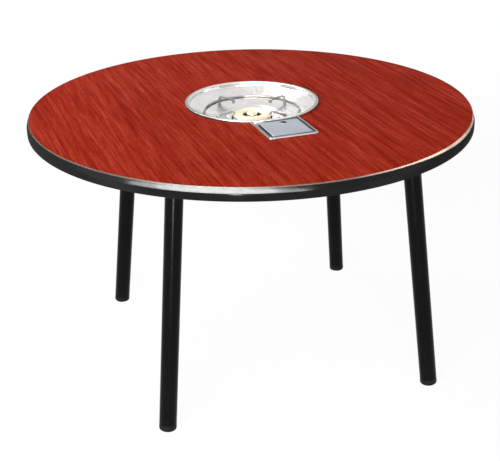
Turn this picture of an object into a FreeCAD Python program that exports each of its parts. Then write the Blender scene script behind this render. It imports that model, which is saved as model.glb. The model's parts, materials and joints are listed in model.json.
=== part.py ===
import FreeCAD, Part
import math
import os
from FreeCAD import Vector

# A round hot-pot dining table. The origin is on the floor under the middle of the top, +Z is up,
# and the cooker's control panel looks towards -Y. Lengths are in millimetres, angles in degrees.

# Table top
table_height = 732.0
top_diameter = 1200.0
core_thickness = 30.0
laminate_thickness = 1.0
backing_thickness = 1.0
band_height = 34.0
band_bulge = 6.5
band_lip = 1.0
band_slope = 15.5
band_lip_round = 0.8
band_waist_round = 10.0
band_foot_round = 3.0
tongue_length = 12.0
tongue_thickness = 3.0
tongue_clearance = 0.15
cutout_clearance = 2.0
cut_overrun = 5.0

# Leg frame, which is screwed on a little off the top's middle
frame_x = 28.0
frame_y = -8.0
leg_splay = 92.8
leg_tube_diameter = 46.0
leg_tube_wall = 2.0
leg_azimuths = (-135.0, -45.0, 45.0, 135.0)
leg_names = ("front_left", "front_right", "back_right", "back_left")

# Leg plate with its socket
plate_side = 120.0
plate_corner_radius = 12.0
plate_thickness = 5.0
plate_screw_inset = 14.0
socket_length = 70.0
socket_wall = 2.5
socket_clearance = 0.3
leg_end_gap = 0.5

# Leg bolt, through tube and socket
leg_bolt_diameter = 8.0
leg_bolt_drop = 42.0
bolt_hole_clearance = 0.25
bolt_head_diameter = 14.0
bolt_head_height = 5.0

# Foot
foot_height = 16.0
foot_edge_radius = 7.0
foot_plug_length = 28.0
foot_plug_clearance = 0.2
foot_press_depth = 3.0

# Under-frame rails, rectangular tube
rail_width = 40.0
rail_height = 20.0
rail_wall = 1.5
rail_end_gap = 0.3
rail_clearance = 6.8
rail_hole_share = 0.3

# Board screws
screw_diameter = 4.5
screw_head_diameter = 9.0
screw_head_height = 2.5
screw_bite = 20.0
screw_hole_clearance = 0.3
screw_fit = 0.1

# Cooker's place in the top
cooker_x = 10.0
cooker_y = 20.0
cooker_turn = 4.0
seal_thickness = 1.2

# Drip bowl, one pressing with a rolled rim
bowl_sheet = 1.0
rim_radius = 183.0
rim_height = 7.0
rim_width = 10.5
rim_step = 12.0
crease_inset = 41.5
crease_depth = 25.0
recess_radius = 79.0
recess_depth = 33.0
bowl_floor_radius = 64.0
bowl_depth = 47.0
rim_bend = 2.4
wall_bend = 6.0
crease_bend = 10.0
recess_bend = 4.0
floor_bend = 6.0

# Heat shield tub under the bowl
tub_clearance = 15.5
tub_sheet = 0.8
tub_depth = 92.0
tub_bend = 8.0
tub_gap = 0.15
tub_drain_radius = 12.0
vent_count = 12
vent_length = 34.0
vent_width = 6.0
vent_inset = 42.0
vent_round_share = 0.98

# Burner
burner_radius = 52.0
burner_hole_radius = 26.0
burner_top_depth = 31.0
burner_head_height = 13.0
burner_top_bend = 4.0
port_count = 48
port_width = 1.6
port_height = 4.0
port_depth = 3.0
port_drop = 4.5
cap_radius = 15.0
cap_height = 15.0
cap_crown = 5.0
cap_port_count = 16
cup_radius = 43.5
cup_wall = 3.5
cup_depth = 76.0
cup_hole_clearance = 0.4
inner_tube_radius = 12.0
inner_tube_wall = 3.0
head_lift = 0.3
burner_flange_radius = 58.0
burner_flange_thickness = 4.0
burner_screw_circle = 51.0
burner_screw_diameter = 4.0
burner_screw_head = 7.0
burner_screw_head_height = 2.2
burner_screw_count = 4
mixer_radius = 12.5
mixer_bore = 8.5
feed_hole_radius = 4.0
mixer_mouth_radius = 16.0
mixer_mouth_length = 12.0
mixer_gap = 32.0

# Igniter and flame sensor uprights
pin_radius = 3.0
pin_circle = 57.5
pin_top_depth = 34.0
pin_bottom_depth = 62.0
pin_collar_radius = 4.2
pin_collar_height = 2.0
pin_hole_clearance = 0.2
tip_radius = 1.1
tip_length = 9.0
igniter_angle = -43.0
sensor_angle = -177.0
lead_radius = 1.5
lead_drop = 8.0
lead_bend = 12.0

# Pot support
support_wire_radius = 2.6
support_gap = 0.3
claw_count = 4
claw_turn = 25.0
claw_sheet = 3.0
claw_width = 9.0
claw_top_depth = 8.0
claw_inner_radius = 74.0
claw_tip_drop = 9.0
claw_bend = 4.0

# Control panel
panel_half_width = 66.0
panel_land = 6.0
panel_corner = 5.0
panel_height = 6.2
panel_sheet = 1.0
border_width = 4.0
border_round = 1.4
panel_rim_gap = 0.4

# Control well under the flap
well_half_width = 55.5
well_length = 111.5
well_setback = 11.5
well_depth = 46.0
well_sheet = 1.0
well_corner = 4.0
well_flange = 4.5
well_clearance = 0.1

# Flap over the well
flap_gap = 1.5
flap_near_gap = 3.0
flap_top = 7.0
flap_depth = 6.8
flap_sheet = 1.0
flap_corner = 4.0
flap_round = 1.5
finger_hole_radius = 8.0
finger_hole_inset = 16.0
finger_hole_shift = 9.0
finger_lip_width = 1.6
finger_lip_height = 0.7
finger_lip_round = 0.5
hinge_setback = 5.0
hinge_pin_radius = 1.25
hinge_clearance = 0.05
hinge_height = 2.5
hinge_ear_width = 8.0
hinge_ear_rise = 2.6
hinge_pin_overhang = 0.05
stop_width = 10.0
stop_reach = 4.0
stop_gap = 0.3

# Gas tap
tap_x = 0.0
tap_setback = 56.0
tap_block_x = 28.0
tap_block_y = 32.0
tap_block_depth = 78.0
tap_flange_length = 66.0
tap_flange_width = 18.0
tap_flange_thickness = 4.0
tap_screw_spread = 27.0
tap_screw_diameter = 4.0
tap_screw_head = 7.0
tap_screw_head_height = 2.0
bonnet_radius = 10.0
bonnet_rise = 3.0
bonnet_lid = 1.5
bonnet_gap = 0.3
cavity_radius = 7.6
cavity_floor_depth = 58.5
spindle_radius = 3.5
spindle_fit = 0.05
spindle_top_depth = 25.0
spindle_bottom_depth = 68.0
spindle_end_gap = 0.5
collar_radius = 5.2
collar_height = 1.2
seat_radius = 7.2
seat_thickness = 1.5
spring_wire = 0.9
spring_turns = 5
spring_sides = 12
spring_wire_sides = 6
spring_end_gap = 0.1
tap_travel = 3.0
knob_radius = 19.0
knob_skirt_height = 5.0
knob_press_gap = 3.9
knob_grip_radius = 14.0
knob_top_depth = 18.0
knob_bar_width = 11.0
knob_bar_height = 12.0
knob_round = 1.2
knob_hub_clearance = 0.1
knob_recess_gap = 1.5
knob_recess_depth = 3.4
pointer_width = 1.6
pointer_depth = 0.8

# Gas route
gas_clearance = 7.4
pipe_radius = 4.0
pipe_wall = 1.0
pipe_nut_radius = 8.0
pipe_nut_length = 9.0
injector_radius = 5.5
injector_hex_radius = 8.0
injector_hex_length = 8.0
injector_nose_length = 12.0
injector_nose_radius = 2.0
injector_thread_length = 4.0
injector_wall_gap = 0.2
wall_hole_clearance = 0.4
inlet_hex_radius = 8.6
inlet_collar_length = 10.0
barb_radius = 5.2
barb_root_radius = 4.2
barb_length = 8.0
barb_count = 3
inlet_bore_radius = 2.6

# Clamps that hold the cooker in the board
clamp_azimuths = (30.0, 150.0, 210.0, 330.0)
clamp_width = 24.0
clamp_sheet = 2.5
clamp_reach = 40.0
clamp_drop = 22.0
clamp_leg = 30.0
clamp_bend = 4.0
clamp_screw_radius = 3.0
clamp_screw_inset = 10.0
clamp_screw_tail = 14.0
clamp_wing_radius = 9.0
clamp_wing_height = 6.0
clamp_screw_fit = 0.1

# Worked out from the sizes above
board_radius = top_diameter / 2 - band_bulge
board_thickness = laminate_thickness + core_thickness + backing_thickness
underside = table_height - board_thickness
core_top = table_height - laminate_thickness
core_bottom = underside + backing_thickness
band_middle = table_height - band_height / 2
leg_radius = leg_tube_diameter / 2
step_radius = rim_radius - rim_width
bowl_cutout_radius = step_radius + bowl_sheet + cutout_clearance
crease_radius = step_radius - crease_inset
tub_radius = bowl_cutout_radius - tub_clearance
vent_circle_radius = tub_radius - vent_inset
mixer_end = tub_radius - mixer_gap
well_far = rim_radius + well_setback
well_near = well_far + well_length
panel_reach = well_near + panel_land
tap_y = tap_setback - well_near
leg_line = well_near - cooker_y + rail_clearance + rail_width / 2 + frame_y
leg_circle_top_radius = leg_line / abs(math.sin(math.radians(leg_azimuths[0])))
leg_circle_foot_radius = leg_circle_top_radius + leg_splay
bowl_hole_radius = cup_radius + cup_hole_clearance
half_sheet = bowl_sheet / 2
lead_spread = tap_block_x / 2 - lead_radius * 2
gas_depth = well_depth + inlet_hex_radius + gas_clearance
lead_depth = gas_depth + lead_drop
up = Vector(0, 0, 1)
mitred = 1
origin = Vector(0, 0, 0)


# Outlines

def heading(start, end):
    """Direction of a straight run, as two shares of its length."""
    run = math.hypot(end[0] - start[0], end[1] - start[1])
    return ((end[0] - start[0]) / run, (end[1] - start[1]) / run)


def rounded_corner(before, corner, after, radius, shift=0):
    """Start, middle and end of the arc at a corner, on a line that lies shift to its left."""
    inward = heading(before, corner)
    outward = heading(corner, after)
    turn = math.atan2(inward[0] * outward[1] - inward[1] * outward[0],
                      inward[0] * outward[0] + inward[1] * outward[1])
    side = 1 if turn > 0 else -1
    reach = radius * math.tan(abs(turn) / 2)
    centre = (corner[0] - inward[0] * reach - side * inward[1] * radius,
              corner[1] - inward[1] * reach + side * inward[0] * radius)
    bent = radius - side * shift
    towards = heading(centre, corner)
    start = (centre[0] + side * inward[1] * bent, centre[1] - side * inward[0] * bent)
    middle = (centre[0] + towards[0] * bent, centre[1] + towards[1] * bent)
    end = (centre[0] + side * outward[1] * bent, centre[1] - side * outward[0] * bent)
    return [start, middle, end]


def side_line(points, radii, shift):
    """Stops along a bent line that lies shift to the left of the one through the points."""
    first = heading(points[0], points[1])
    last = heading(points[-2], points[-1])
    stops = [[(points[0][0] - shift * first[1], points[0][1] + shift * first[0])]]
    for index in range(1, len(points) - 1):
        stops.append(rounded_corner(points[index - 1], points[index], points[index + 1],
                                    radii[index - 1], shift))
    stops.append([(points[-1][0] - shift * last[1], points[-1][1] + shift * last[0])])
    return stops


def lifted(point, plane):
    """A point of an outline, placed in the XY, XZ or YZ plane."""
    if plane == "xy":
        return Vector(point[0], point[1], 0)
    if plane == "xz":
        return Vector(point[0], 0, point[1])
    return Vector(0, point[0], point[1])


def face_through(stops, plane):
    """A face whose edge runs through the stops, straight between them and round within them."""
    edges = []
    for index, stop in enumerate(stops):
        following = stops[(index + 1) % len(stops)]
        if len(stop) == 3:
            edges.append(Part.Arc(*[lifted(point, plane) for point in stop]).toShape())
        start = lifted(stop[-1], plane)
        end = lifted(following[0], plane)
        if start.distanceToPoint(end) > Part.Vertex(start).Tolerance:
            edges.append(Part.makeLine(start, end))
    return Part.Face(Part.Wire(edges))


def sheet_section(points, radii, thickness, plane="xz"):
    """Section of a bent sheet, whose middle line runs through the points."""
    left = side_line(points, radii, thickness / 2)
    right = side_line(points, radii, -thickness / 2)
    back = [list(reversed(stop)) for stop in reversed(right)]
    return face_through(left + back, plane)


def rounded_outline(points, radii, plane="xy"):
    """A closed outline with a radius at each corner; a corner with no radius stays sharp."""
    stops = []
    count = len(points)
    for index, point in enumerate(points):
        if radii[index] > 0:
            stops.append(rounded_corner(points[index - 1], point, points[(index + 1) % count],
                                        radii[index]))
        else:
            stops.append([point])
    return face_through(stops, plane)


def rectangle(low_x, low_y, high_x, high_y, radius, level, height):
    """An upright block with rounded corners."""
    corners = [(low_x, low_y), (high_x, low_y), (high_x, high_y), (low_x, high_y)]
    face = rounded_outline(corners, [radius] * len(corners))
    face.translate(Vector(0, 0, level))
    return face.extrude(Vector(0, 0, height))


def disc(radius, low, high, x=0, y=0):
    """An upright cylinder between two heights."""
    return Part.makeCylinder(radius, high - low, Vector(x, y, low))


def ring(outer, inner, low, high):
    """An upright ring between two heights."""
    return disc(outer, low, high).cut(disc(inner, low - cut_overrun, high + cut_overrun))


def turned(points, radii=None):
    """A body turned about the upright axis from an outline of radius and height."""
    face = rounded_outline(points, radii or [0] * len(points), "xz")
    return face.revolve(origin, up, 360)


def rod(start, end, radius):
    """A round bar between two points."""
    return Part.makeCylinder(radius, start.distanceToPoint(end), start, end.sub(start))


def hexagon_bar(start, end, radius):
    """A six-sided bar between two points, radius measured to its corners."""
    run = end.sub(start)
    corners = [Vector(radius * math.cos(math.radians(60 * k)), radius * math.sin(math.radians(60 * k)), 0)
               for k in range(7)]
    bar = Part.Face(Part.makePolygon(corners)).extrude(Vector(0, 0, run.Length))
    bar.Placement = FreeCAD.Placement(start, FreeCAD.Rotation(up, run))
    return bar


def turned_copy(shape, azimuth):
    """The shape turned about the upright axis."""
    copy = shape.copy()
    copy.rotate(origin, up, azimuth)
    return copy


def edges_at(shape, height, tolerance):
    """Edges of a shape that lie flat at one height."""
    return [edge for edge in shape.Edges
            if abs(edge.BoundBox.ZMin - height) < tolerance and abs(edge.BoundBox.ZMax - height) < tolerance]


def round_top(shape, height, radius):
    """Rounds every edge that lies flat at a height."""
    return shape.makeFillet(radius, edges_at(shape, height, radius / 100))


# Places

def seat_cooker(shape):
    """Moves a piece drawn about the bowl's centre on the table's surface to its place."""
    placed = turned_copy(shape, cooker_turn)
    placed.translate(Vector(cooker_x, cooker_y, table_height))
    return placed


def seat_leg(shape, azimuth):
    """Moves a piece drawn on the leg circle at azimuth zero to its corner of the leg frame."""
    placed = turned_copy(shape, azimuth)
    placed.translate(Vector(frame_x, frame_y, 0))
    return placed


def leg_point(height):
    """Point of the leg's middle line at a height, at azimuth zero."""
    share = (underside - height) / underside
    radius = leg_circle_top_radius + (leg_circle_foot_radius - leg_circle_top_radius) * share
    return Vector(radius, 0, height)


def along_leg(radius, high, low):
    """A round bar on the leg's middle line that reaches past two heights."""
    start = leg_point(high)
    end = leg_point(low)
    reach = end.sub(start)
    reach.normalize()
    return rod(start.sub(reach * leg_tube_diameter), end.add(reach * leg_tube_diameter), radius)


def slab(low, high):
    """Everything between two heights."""
    return disc(top_diameter, low, high)


def save(name, shape):
    """Writes one piece, or one group of like pieces, to its own file."""
    solid_count = len(shape.Solids)
    if not shape.isValid() or solid_count == 0:
        raise ValueError("the shape of " + name + " is not sound")
    shape.exportStep("parts/" + name + ".step")
    print(name, solid_count, round(shape.Volume))


# Table top

def bowl_cutout(low, high):
    """The round and the square opening for the cooker, between two heights below the surface."""
    round_hole = disc(bowl_cutout_radius, low, high)
    side = well_half_width + cutout_clearance
    square_hole = rectangle(-side, -well_near - cutout_clearance, side, -well_far + cutout_clearance,
                            well_corner, low, high - low)
    return seat_cooker(round_hole.fuse(square_hole))


def table_core():
    """The board, grooved round its edge for the edging's tongue."""
    board = disc(board_radius, core_bottom, core_top)
    half = tongue_thickness / 2 + tongue_clearance
    groove = ring(board_radius + cut_overrun, board_radius - tongue_length - tongue_clearance,
                  band_middle - half, band_middle + half)
    board = board.cut(groove).cut(bowl_cutout(-board_thickness - cut_overrun, cut_overrun))
    return board.cut(pilot_holes())


def top_skin(low, high):
    """A sheet glued over the board, with the same openings."""
    return disc(board_radius, low, high).cut(bowl_cutout(-board_thickness - cut_overrun, cut_overrun))


def pilot_holes():
    """The holes in the board and its backing that the screws from below are driven into."""
    top = underside + screw_bite + screw_fit
    return Part.makeCompound([disc(screw_diameter / 2 + screw_fit, underside - cut_overrun, top, x, y)
                              for x, y, head_top in board_screw_places()])


def edge_band():
    """The edging: a narrow lip, a leaning upper face and an upright lower one, with a tongue in the groove."""
    face = board_radius + band_bulge
    bottom = table_height - band_height
    root = board_radius - tongue_length
    half = tongue_thickness / 2
    points = [(board_radius, table_height),
              (board_radius + band_lip, table_height),
              (face, table_height - band_slope),
              (face, bottom),
              (board_radius, bottom),
              (board_radius, band_middle - half),
              (root, band_middle - half),
              (root, band_middle + half),
              (board_radius, band_middle + half)]
    rounds = [0, band_lip_round, band_waist_round, band_foot_round, 0, 0, 0, 0, 0]
    return turned(points, rounds)


# Legs and under-frame

def plate_screw_places():
    """The four screw places of a leg plate, from its middle."""
    reach = plate_side / 2 - plate_screw_inset
    return [(sx * reach, sy * reach) for sx in (-1, 1) for sy in (-1, 1)]


def plate_centre(azimuth):
    """Middle of a leg plate, seen from above."""
    angle = math.radians(azimuth)
    return (frame_x + leg_circle_top_radius * math.cos(angle),
            frame_y + leg_circle_top_radius * math.sin(angle))


def leg_bolt_line():
    """The two ends of the leg bolt's shank, at azimuth zero."""
    middle = leg_point(underside - plate_thickness - leg_bolt_drop)
    reach = Vector(0, leg_radius, 0)
    return middle.sub(reach), middle.add(reach)


def leg_bolt_hole():
    """The hole that the leg bolt passes through."""
    start, end = leg_bolt_line()
    reach = Vector(0, cut_overrun, 0)
    return rod(start.sub(reach), end.add(reach), leg_bolt_diameter / 2 + bolt_hole_clearance)


def leg_plate(azimuth):
    """A steel plate under the board, with the splayed socket that the leg slides over."""
    bottom = underside - plate_thickness
    side = plate_side / 2
    centre = plate_centre(azimuth)
    plate = rectangle(-side, -side, side, side, plate_corner_radius, bottom, plate_thickness)
    for x, y in plate_screw_places():
        hole = disc(screw_diameter / 2 + screw_hole_clearance, bottom - cut_overrun,
                    underside + cut_overrun, x, y)
        plate = plate.cut(hole)
    plate.translate(Vector(centre[0], centre[1], 0))
    outer = leg_radius - leg_tube_wall - socket_clearance
    socket = along_leg(outer, underside, bottom - socket_length)
    socket = socket.common(slab(bottom - socket_length, underside))
    bore = along_leg(outer - socket_wall, underside, bottom - socket_length)
    bore = bore.common(slab(bottom - socket_length - cut_overrun, bottom))
    socket = socket.cut(leg_bolt_hole())
    bore = seat_leg(bore, azimuth)
    return plate.fuse(seat_leg(socket, azimuth)).cut(bore).removeSplitter()


def leg(azimuth):
    """A round tube, cut level under its plate and square at the foot."""
    high = underside - plate_thickness - leg_end_gap
    tube = along_leg(leg_radius, high, foot_height)
    bore = along_leg(leg_radius - leg_tube_wall, high + cut_overrun, foot_height - cut_overrun)
    tube = tube.cut(bore)
    keep = slab(0, high)
    tube = tube.common(keep).cut(below_foot_line()).cut(leg_bolt_hole())
    return seat_leg(tube, azimuth)


def below_foot_line():
    """Everything on the leg's line below the tube's square end."""
    end = leg_point(foot_height)
    reach = leg_point(0).sub(leg_point(underside))
    reach.normalize()
    return rod(end, end.add(reach * leg_tube_diameter), leg_tube_diameter)


def foot(azimuth):
    """A moulded foot: a plug in the tube and a rounded base, worn flat where it stands."""
    end = leg_point(foot_height)
    reach = leg_point(0).sub(leg_point(underside))
    reach.normalize()
    plug_radius = leg_radius - leg_tube_wall - foot_plug_clearance
    base_height = foot_height + foot_press_depth
    outline = [(0, foot_plug_length), (plug_radius, foot_plug_length), (plug_radius, 0),
               (leg_radius, 0), (leg_radius, -base_height), (0, -base_height)]
    shape = turned(outline, [0, 0, 0, 0, foot_edge_radius, 0])
    turn = FreeCAD.Rotation(up, reach * -1)
    shape.Placement = FreeCAD.Placement(end, turn)
    return seat_leg(shape.common(slab(0, underside)), azimuth)


def leg_bolts():
    """Four cap bolts, each through a leg and its socket, with a nut behind."""
    start, end = leg_bolt_line()
    step = Vector(0, bolt_head_height, 0)
    shank = rod(start, end, leg_bolt_diameter / 2)
    head = rod(start.sub(step), start, bolt_head_diameter / 2)
    nut = hexagon_bar(end, end.add(step), bolt_head_diameter / 2)
    bolt = shank.fuse(head).fuse(nut)
    return Part.makeCompound([seat_leg(bolt, azimuth) for azimuth in leg_azimuths])


def rail_span(index):
    """Ends of a rail's middle line, from plate to plate, and the rail's direction."""
    start = plate_centre(leg_azimuths[index])
    end = plate_centre(leg_azimuths[(index + 1) % len(leg_azimuths)])
    along = heading(start, end)
    inset = plate_side / 2 + rail_end_gap
    return ((start[0] + along[0] * inset, start[1] + along[1] * inset),
            (end[0] - along[0] * inset, end[1] - along[1] * inset), along)


def rail_screw_places(index):
    """Two screw places along a rail."""
    start, end, along = rail_span(index)
    length = math.hypot(end[0] - start[0], end[1] - start[1])
    places = []
    for share in (rail_hole_share, 1 - rail_hole_share):
        places.append((start[0] + along[0] * length * share, start[1] + along[1] * length * share))
    return places


def rail(index):
    """A rectangular tube under the board between two leg plates."""
    start, end, along = rail_span(index)
    length = math.hypot(end[0] - start[0], end[1] - start[1])
    side = rail_width / 2
    low = underside - rail_height
    outer = Part.makeBox(length, rail_width, rail_height, Vector(0, -side, low))
    inner = Part.makeBox(length + 2 * cut_overrun, rail_width - 2 * rail_wall, rail_height - 2 * rail_wall,
                         Vector(-cut_overrun, -side + rail_wall, low + rail_wall))
    tube = turned_copy(outer.cut(inner), math.degrees(math.atan2(along[1], along[0])))
    tube.translate(Vector(start[0], start[1], 0))
    for x, y in rail_screw_places(index):
        tube = tube.cut(disc(screw_diameter / 2 + screw_hole_clearance, low - cut_overrun,
                             underside + cut_overrun, x, y))
    return tube


def board_screw(x, y, head_top):
    """A pan-head screw driven up into the board, its head under the given height."""
    tip = underside + screw_bite
    head = disc(screw_head_diameter / 2, head_top - screw_head_height, head_top, x, y)
    return head.fuse(disc(screw_diameter / 2, head_top, tip, x, y))


def board_screw_places():
    """Place of every screw in the board, and the height that its head is drawn up to."""
    places = []
    for azimuth in leg_azimuths:
        centre = plate_centre(azimuth)
        for x, y in plate_screw_places():
            places.append((centre[0] + x, centre[1] + y, underside - plate_thickness))
    for index in range(len(leg_azimuths)):
        for x, y in rail_screw_places(index):
            places.append((x, y, underside - rail_height))
    return places


def board_screws():
    """Every screw that holds the leg plates and the rails to the board."""
    return Part.makeCompound([board_screw(*place) for place in board_screw_places()])


# Drip bowl, seals and tub, drawn about the bowl's centre on the table's surface

def bowl_line():
    """Middle line of the bowl's sheet, from the rim's skirt to the hole in its floor."""
    land = rim_height - half_sheet
    return [(rim_radius - half_sheet, seal_thickness),
            (rim_radius - half_sheet, land),
            (step_radius, land),
            (step_radius, land - rim_step),
            (crease_radius, -crease_depth),
            (recess_radius, -recess_depth),
            (bowl_floor_radius, -bowl_depth - half_sheet),
            (bowl_hole_radius, -bowl_depth - half_sheet)]


def upright_pin_place(angle):
    """Where an igniter or sensor upright stands."""
    return (pin_circle * math.cos(math.radians(angle)), pin_circle * math.sin(math.radians(angle)))


def burner_screw_places():
    """Where the screws stand that hold the burner's flange under the bowl."""
    places = []
    for index in range(burner_screw_count):
        angle = math.radians(claw_turn + (index + 1 / 2) * 360 / burner_screw_count)
        places.append((burner_screw_circle * math.cos(angle), burner_screw_circle * math.sin(angle)))
    return places


def drip_bowl():
    """The pressed bowl with its rolled rim, and the holes in its floor."""
    radii = [rim_bend, rim_bend, wall_bend, crease_bend, recess_bend, floor_bend]
    shape = sheet_section(bowl_line(), radii, bowl_sheet).revolve(origin, up, 360)
    low = -bowl_depth - bowl_sheet - cut_overrun
    for angle in (igniter_angle, sensor_angle):
        x, y = upright_pin_place(angle)
        shape = shape.cut(disc(pin_radius + pin_hole_clearance, low, -recess_depth, x, y))
    for x, y in burner_screw_places():
        shape = shape.cut(disc(burner_screw_diameter / 2 + screw_hole_clearance, low, -recess_depth, x, y))
    return shape


def rim_seal():
    """A flat rubber ring between the rim and the laminate."""
    return ring(rim_radius, bowl_cutout_radius + seal_thickness, 0, seal_thickness)


def tub_line():
    """Middle line of the tub's sheet; its edge meets the slope of the bowl from below."""
    line = bowl_line()
    high, low = line[3], line[4]
    slope = (high[1] - low[1]) / (high[0] - low[0])
    inner = tub_radius - tub_sheet
    bowl_under = low[1] + (inner - low[0]) * slope - half_sheet * math.hypot(1, slope)
    middle = tub_radius - tub_sheet / 2
    floor = -tub_depth + tub_sheet / 2
    return [(middle, bowl_under - tub_gap), (middle, floor), (tub_drain_radius, floor)]


def tub():
    """The heat shield under the bowl, with air slots in its floor and a hole for the injector."""
    shape = sheet_section(tub_line(), [tub_bend], tub_sheet).revolve(origin, up, 360)
    half = vent_width / 2
    slot = rectangle(vent_circle_radius - vent_length / 2, -half, vent_circle_radius + vent_length / 2,
                     half, half * vent_round_share, -tub_depth - cut_overrun, 2 * cut_overrun)
    for index in range(vent_count):
        shape = shape.cut(turned_copy(slot, (index + 1 / 2) * 360 / vent_count))
    hole = rod(Vector(0, -tub_radius - cut_overrun, -gas_depth),
               Vector(0, -tub_radius + tub_bend + cut_overrun, -gas_depth),
               injector_radius + wall_hole_clearance)
    shape = shape.cut(hole)
    for angle, side in ((igniter_angle, 1), (sensor_angle, -1)):
        x, level = side * lead_spread, -lead_depth
        pass_hole = rod(Vector(x, -tub_radius - cut_overrun, level), Vector(x, -tub_radius / 2, level),
                        lead_radius + wall_hole_clearance)
        shape = shape.cut(pass_hole)
    return shape


# Burner

def burner_casting():
    """The cup under the burner head, its inner tube, its flange and the mixing tube."""
    floor = -cup_depth
    neck_top = -burner_top_depth - burner_head_height + port_drop
    cup = turned([(0, floor), (cup_radius, floor), (cup_radius, neck_top), (cup_radius - cup_wall, neck_top),
                  (cup_radius - cup_wall, floor + cup_wall), (0, floor + cup_wall)],
                 [0, cup_wall, 0, 0, cup_wall, 0])
    inner_top = -burner_top_depth - cap_height + cap_crown
    inner = disc(inner_tube_radius, floor, inner_top)
    flange_top = -bowl_depth - bowl_sheet
    flange = disc(burner_flange_radius, flange_top - burner_flange_thickness, flange_top)
    hole_low = flange_top - burner_flange_thickness - cut_overrun
    hole_high = flange_top + cut_overrun
    flange = flange.cut(disc(cup_radius - cup_wall / 2, hole_low, hole_high))
    mixer = rod(Vector(0, 0, -gas_depth), Vector(0, -mixer_end, -gas_depth), mixer_radius)
    mouth_start = mixer_mouth_length - mixer_end
    mouth = Part.makeCone(mixer_radius, mixer_mouth_radius, mixer_mouth_length,
                          Vector(0, mouth_start, -gas_depth), Vector(0, -1, 0))
    shaft = ring(burner_hole_radius + cup_wall, burner_hole_radius, floor + cup_wall / 2, neck_top)
    body = cup.fuse(inner).fuse(shaft).fuse(flange).fuse(mixer).fuse(mouth)
    inner_bore = disc(inner_tube_radius - inner_tube_wall, -gas_depth, inner_top + cut_overrun)
    bore = rod(Vector(0, 0, -gas_depth), Vector(0, -mixer_end - cut_overrun, -gas_depth), mixer_bore)
    flare = Part.makeCone(mixer_bore, mixer_mouth_radius - inner_tube_wall / 2, mixer_mouth_length,
                          Vector(0, mouth_start, -gas_depth), Vector(0, -1, 0))
    feed = disc(feed_hole_radius, -gas_depth, mixer_radius + cut_overrun - gas_depth, 0,
                -(cup_radius + burner_hole_radius) / 2)
    body = body.cut(inner_bore).cut(bore).cut(flare).cut(feed)
    for x, y in burner_screw_places():
        body = body.cut(disc(burner_screw_diameter / 2 + screw_fit, hole_low, hole_high, x, y))
    for angle in (igniter_angle, sensor_angle):
        x, y = upright_pin_place(angle)
        body = body.cut(disc(pin_radius + pin_hole_clearance, hole_low, hole_high, x, y))
    return body


def radial_slots(count, inner, outer, width, low, high, turn=0):
    """A ring of narrow upright slots."""
    slot = Part.makeBox(outer - inner, width, high - low, Vector(inner, -width / 2, low))
    return Part.makeCompound([turned_copy(slot, turn + index * 360 / count) for index in range(count)])


def burner_ring():
    """The outer head: a hollow ring that sits over the cup's neck, with flame ports round it."""
    top = -burner_top_depth
    bottom = top - burner_head_height
    seat = bottom + port_drop + head_lift
    inner_wall = burner_hole_radius + cup_wall
    outline = [(burner_hole_radius, seat), (inner_wall, seat), (inner_wall, seat + port_height),
               (cup_radius - cup_wall, seat + port_height), (cup_radius - cup_wall, seat),
               (cup_radius + head_lift, seat),
               (cup_radius + head_lift, bottom), (burner_radius, bottom),
               (burner_radius, top - burner_top_bend), (burner_radius - burner_top_bend, top),
               (burner_hole_radius + burner_top_bend, top),
               (burner_hole_radius, top - burner_top_bend)]
    radii = [0, 0, 0, 0, 0, 0, 0, 0, burner_top_bend / 2, burner_top_bend / 2, burner_top_bend / 2,
             burner_top_bend / 2]
    shape = turned(outline, radii)
    low = top - burner_top_bend - port_height
    ports = radial_slots(port_count, burner_radius - port_depth, burner_radius + cut_overrun, port_width, low,
                         low + port_height - port_width)
    return shape.cut(ports)


def burner_cap():
    """The small domed cap over the inner tube."""
    base = -burner_top_depth - cap_height + cap_crown + head_lift
    top = base + cap_height
    spigot = inner_tube_radius - inner_tube_wall - head_lift
    shoulder = top - cap_crown
    outline = [(0, base - cap_crown), (spigot, base - cap_crown), (spigot, base), (cap_radius, base),
               (cap_radius, shoulder), (cap_radius / 2, top), (0, top)]
    shape = turned(outline, [0, 0, 0, 0, cap_crown / 2, cap_crown, 0])
    ports = radial_slots(cap_port_count, cap_radius - port_depth, cap_radius + cut_overrun, port_width,
                         base + port_width, base + port_width + port_height)
    return shape.cut(ports)


def burner_screws():
    """The screws through the bowl's floor into the burner's flange."""
    screws = []
    for x, y in burner_screw_places():
        head = disc(burner_screw_head / 2, -bowl_depth, -bowl_depth + burner_screw_head_height, x, y)
        low = -bowl_depth - bowl_sheet - burner_flange_thickness
        screws.append(head.fuse(disc(burner_screw_diameter / 2, low, -bowl_depth, x, y)))
    return Part.makeCompound(screws)


def upright_pin(angle):
    """A ceramic upright with a collar on the bowl's floor and a metal tip."""
    x, y = upright_pin_place(angle)
    shape = disc(pin_radius, -pin_bottom_depth, -pin_top_depth, x, y)
    shape = shape.fuse(disc(pin_collar_radius, -bowl_depth, -bowl_depth + pin_collar_height, x, y))
    return shape.fuse(disc(tip_radius, -pin_top_depth, -pin_top_depth + tip_length, x, y))


def pipe_path(points, radii):
    """A wire of straight runs and tangent arcs in space."""
    edges = []
    here = points[0]
    for index in range(1, len(points) - 1):
        before, corner, after = points[index - 1], points[index], points[index + 1]
        inward = corner.sub(before)
        inward.normalize()
        outward = after.sub(corner)
        outward.normalize()
        turn = inward.getAngle(outward)
        reach = radii[index - 1] * math.tan(turn / 2)
        start = corner.sub(inward * reach)
        end = corner.add(outward * reach)
        bisector = outward.sub(inward)
        bisector.normalize()
        centre_gap = radii[index - 1] / math.cos(turn / 2)
        middle = corner.add(bisector * (centre_gap - radii[index - 1]))
        edges.append(Part.makeLine(here, start))
        edges.append(Part.Arc(start, middle, end).toShape())
        here = end
    edges.append(Part.makeLine(here, points[-1]))
    return Part.Wire(edges)


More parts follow.
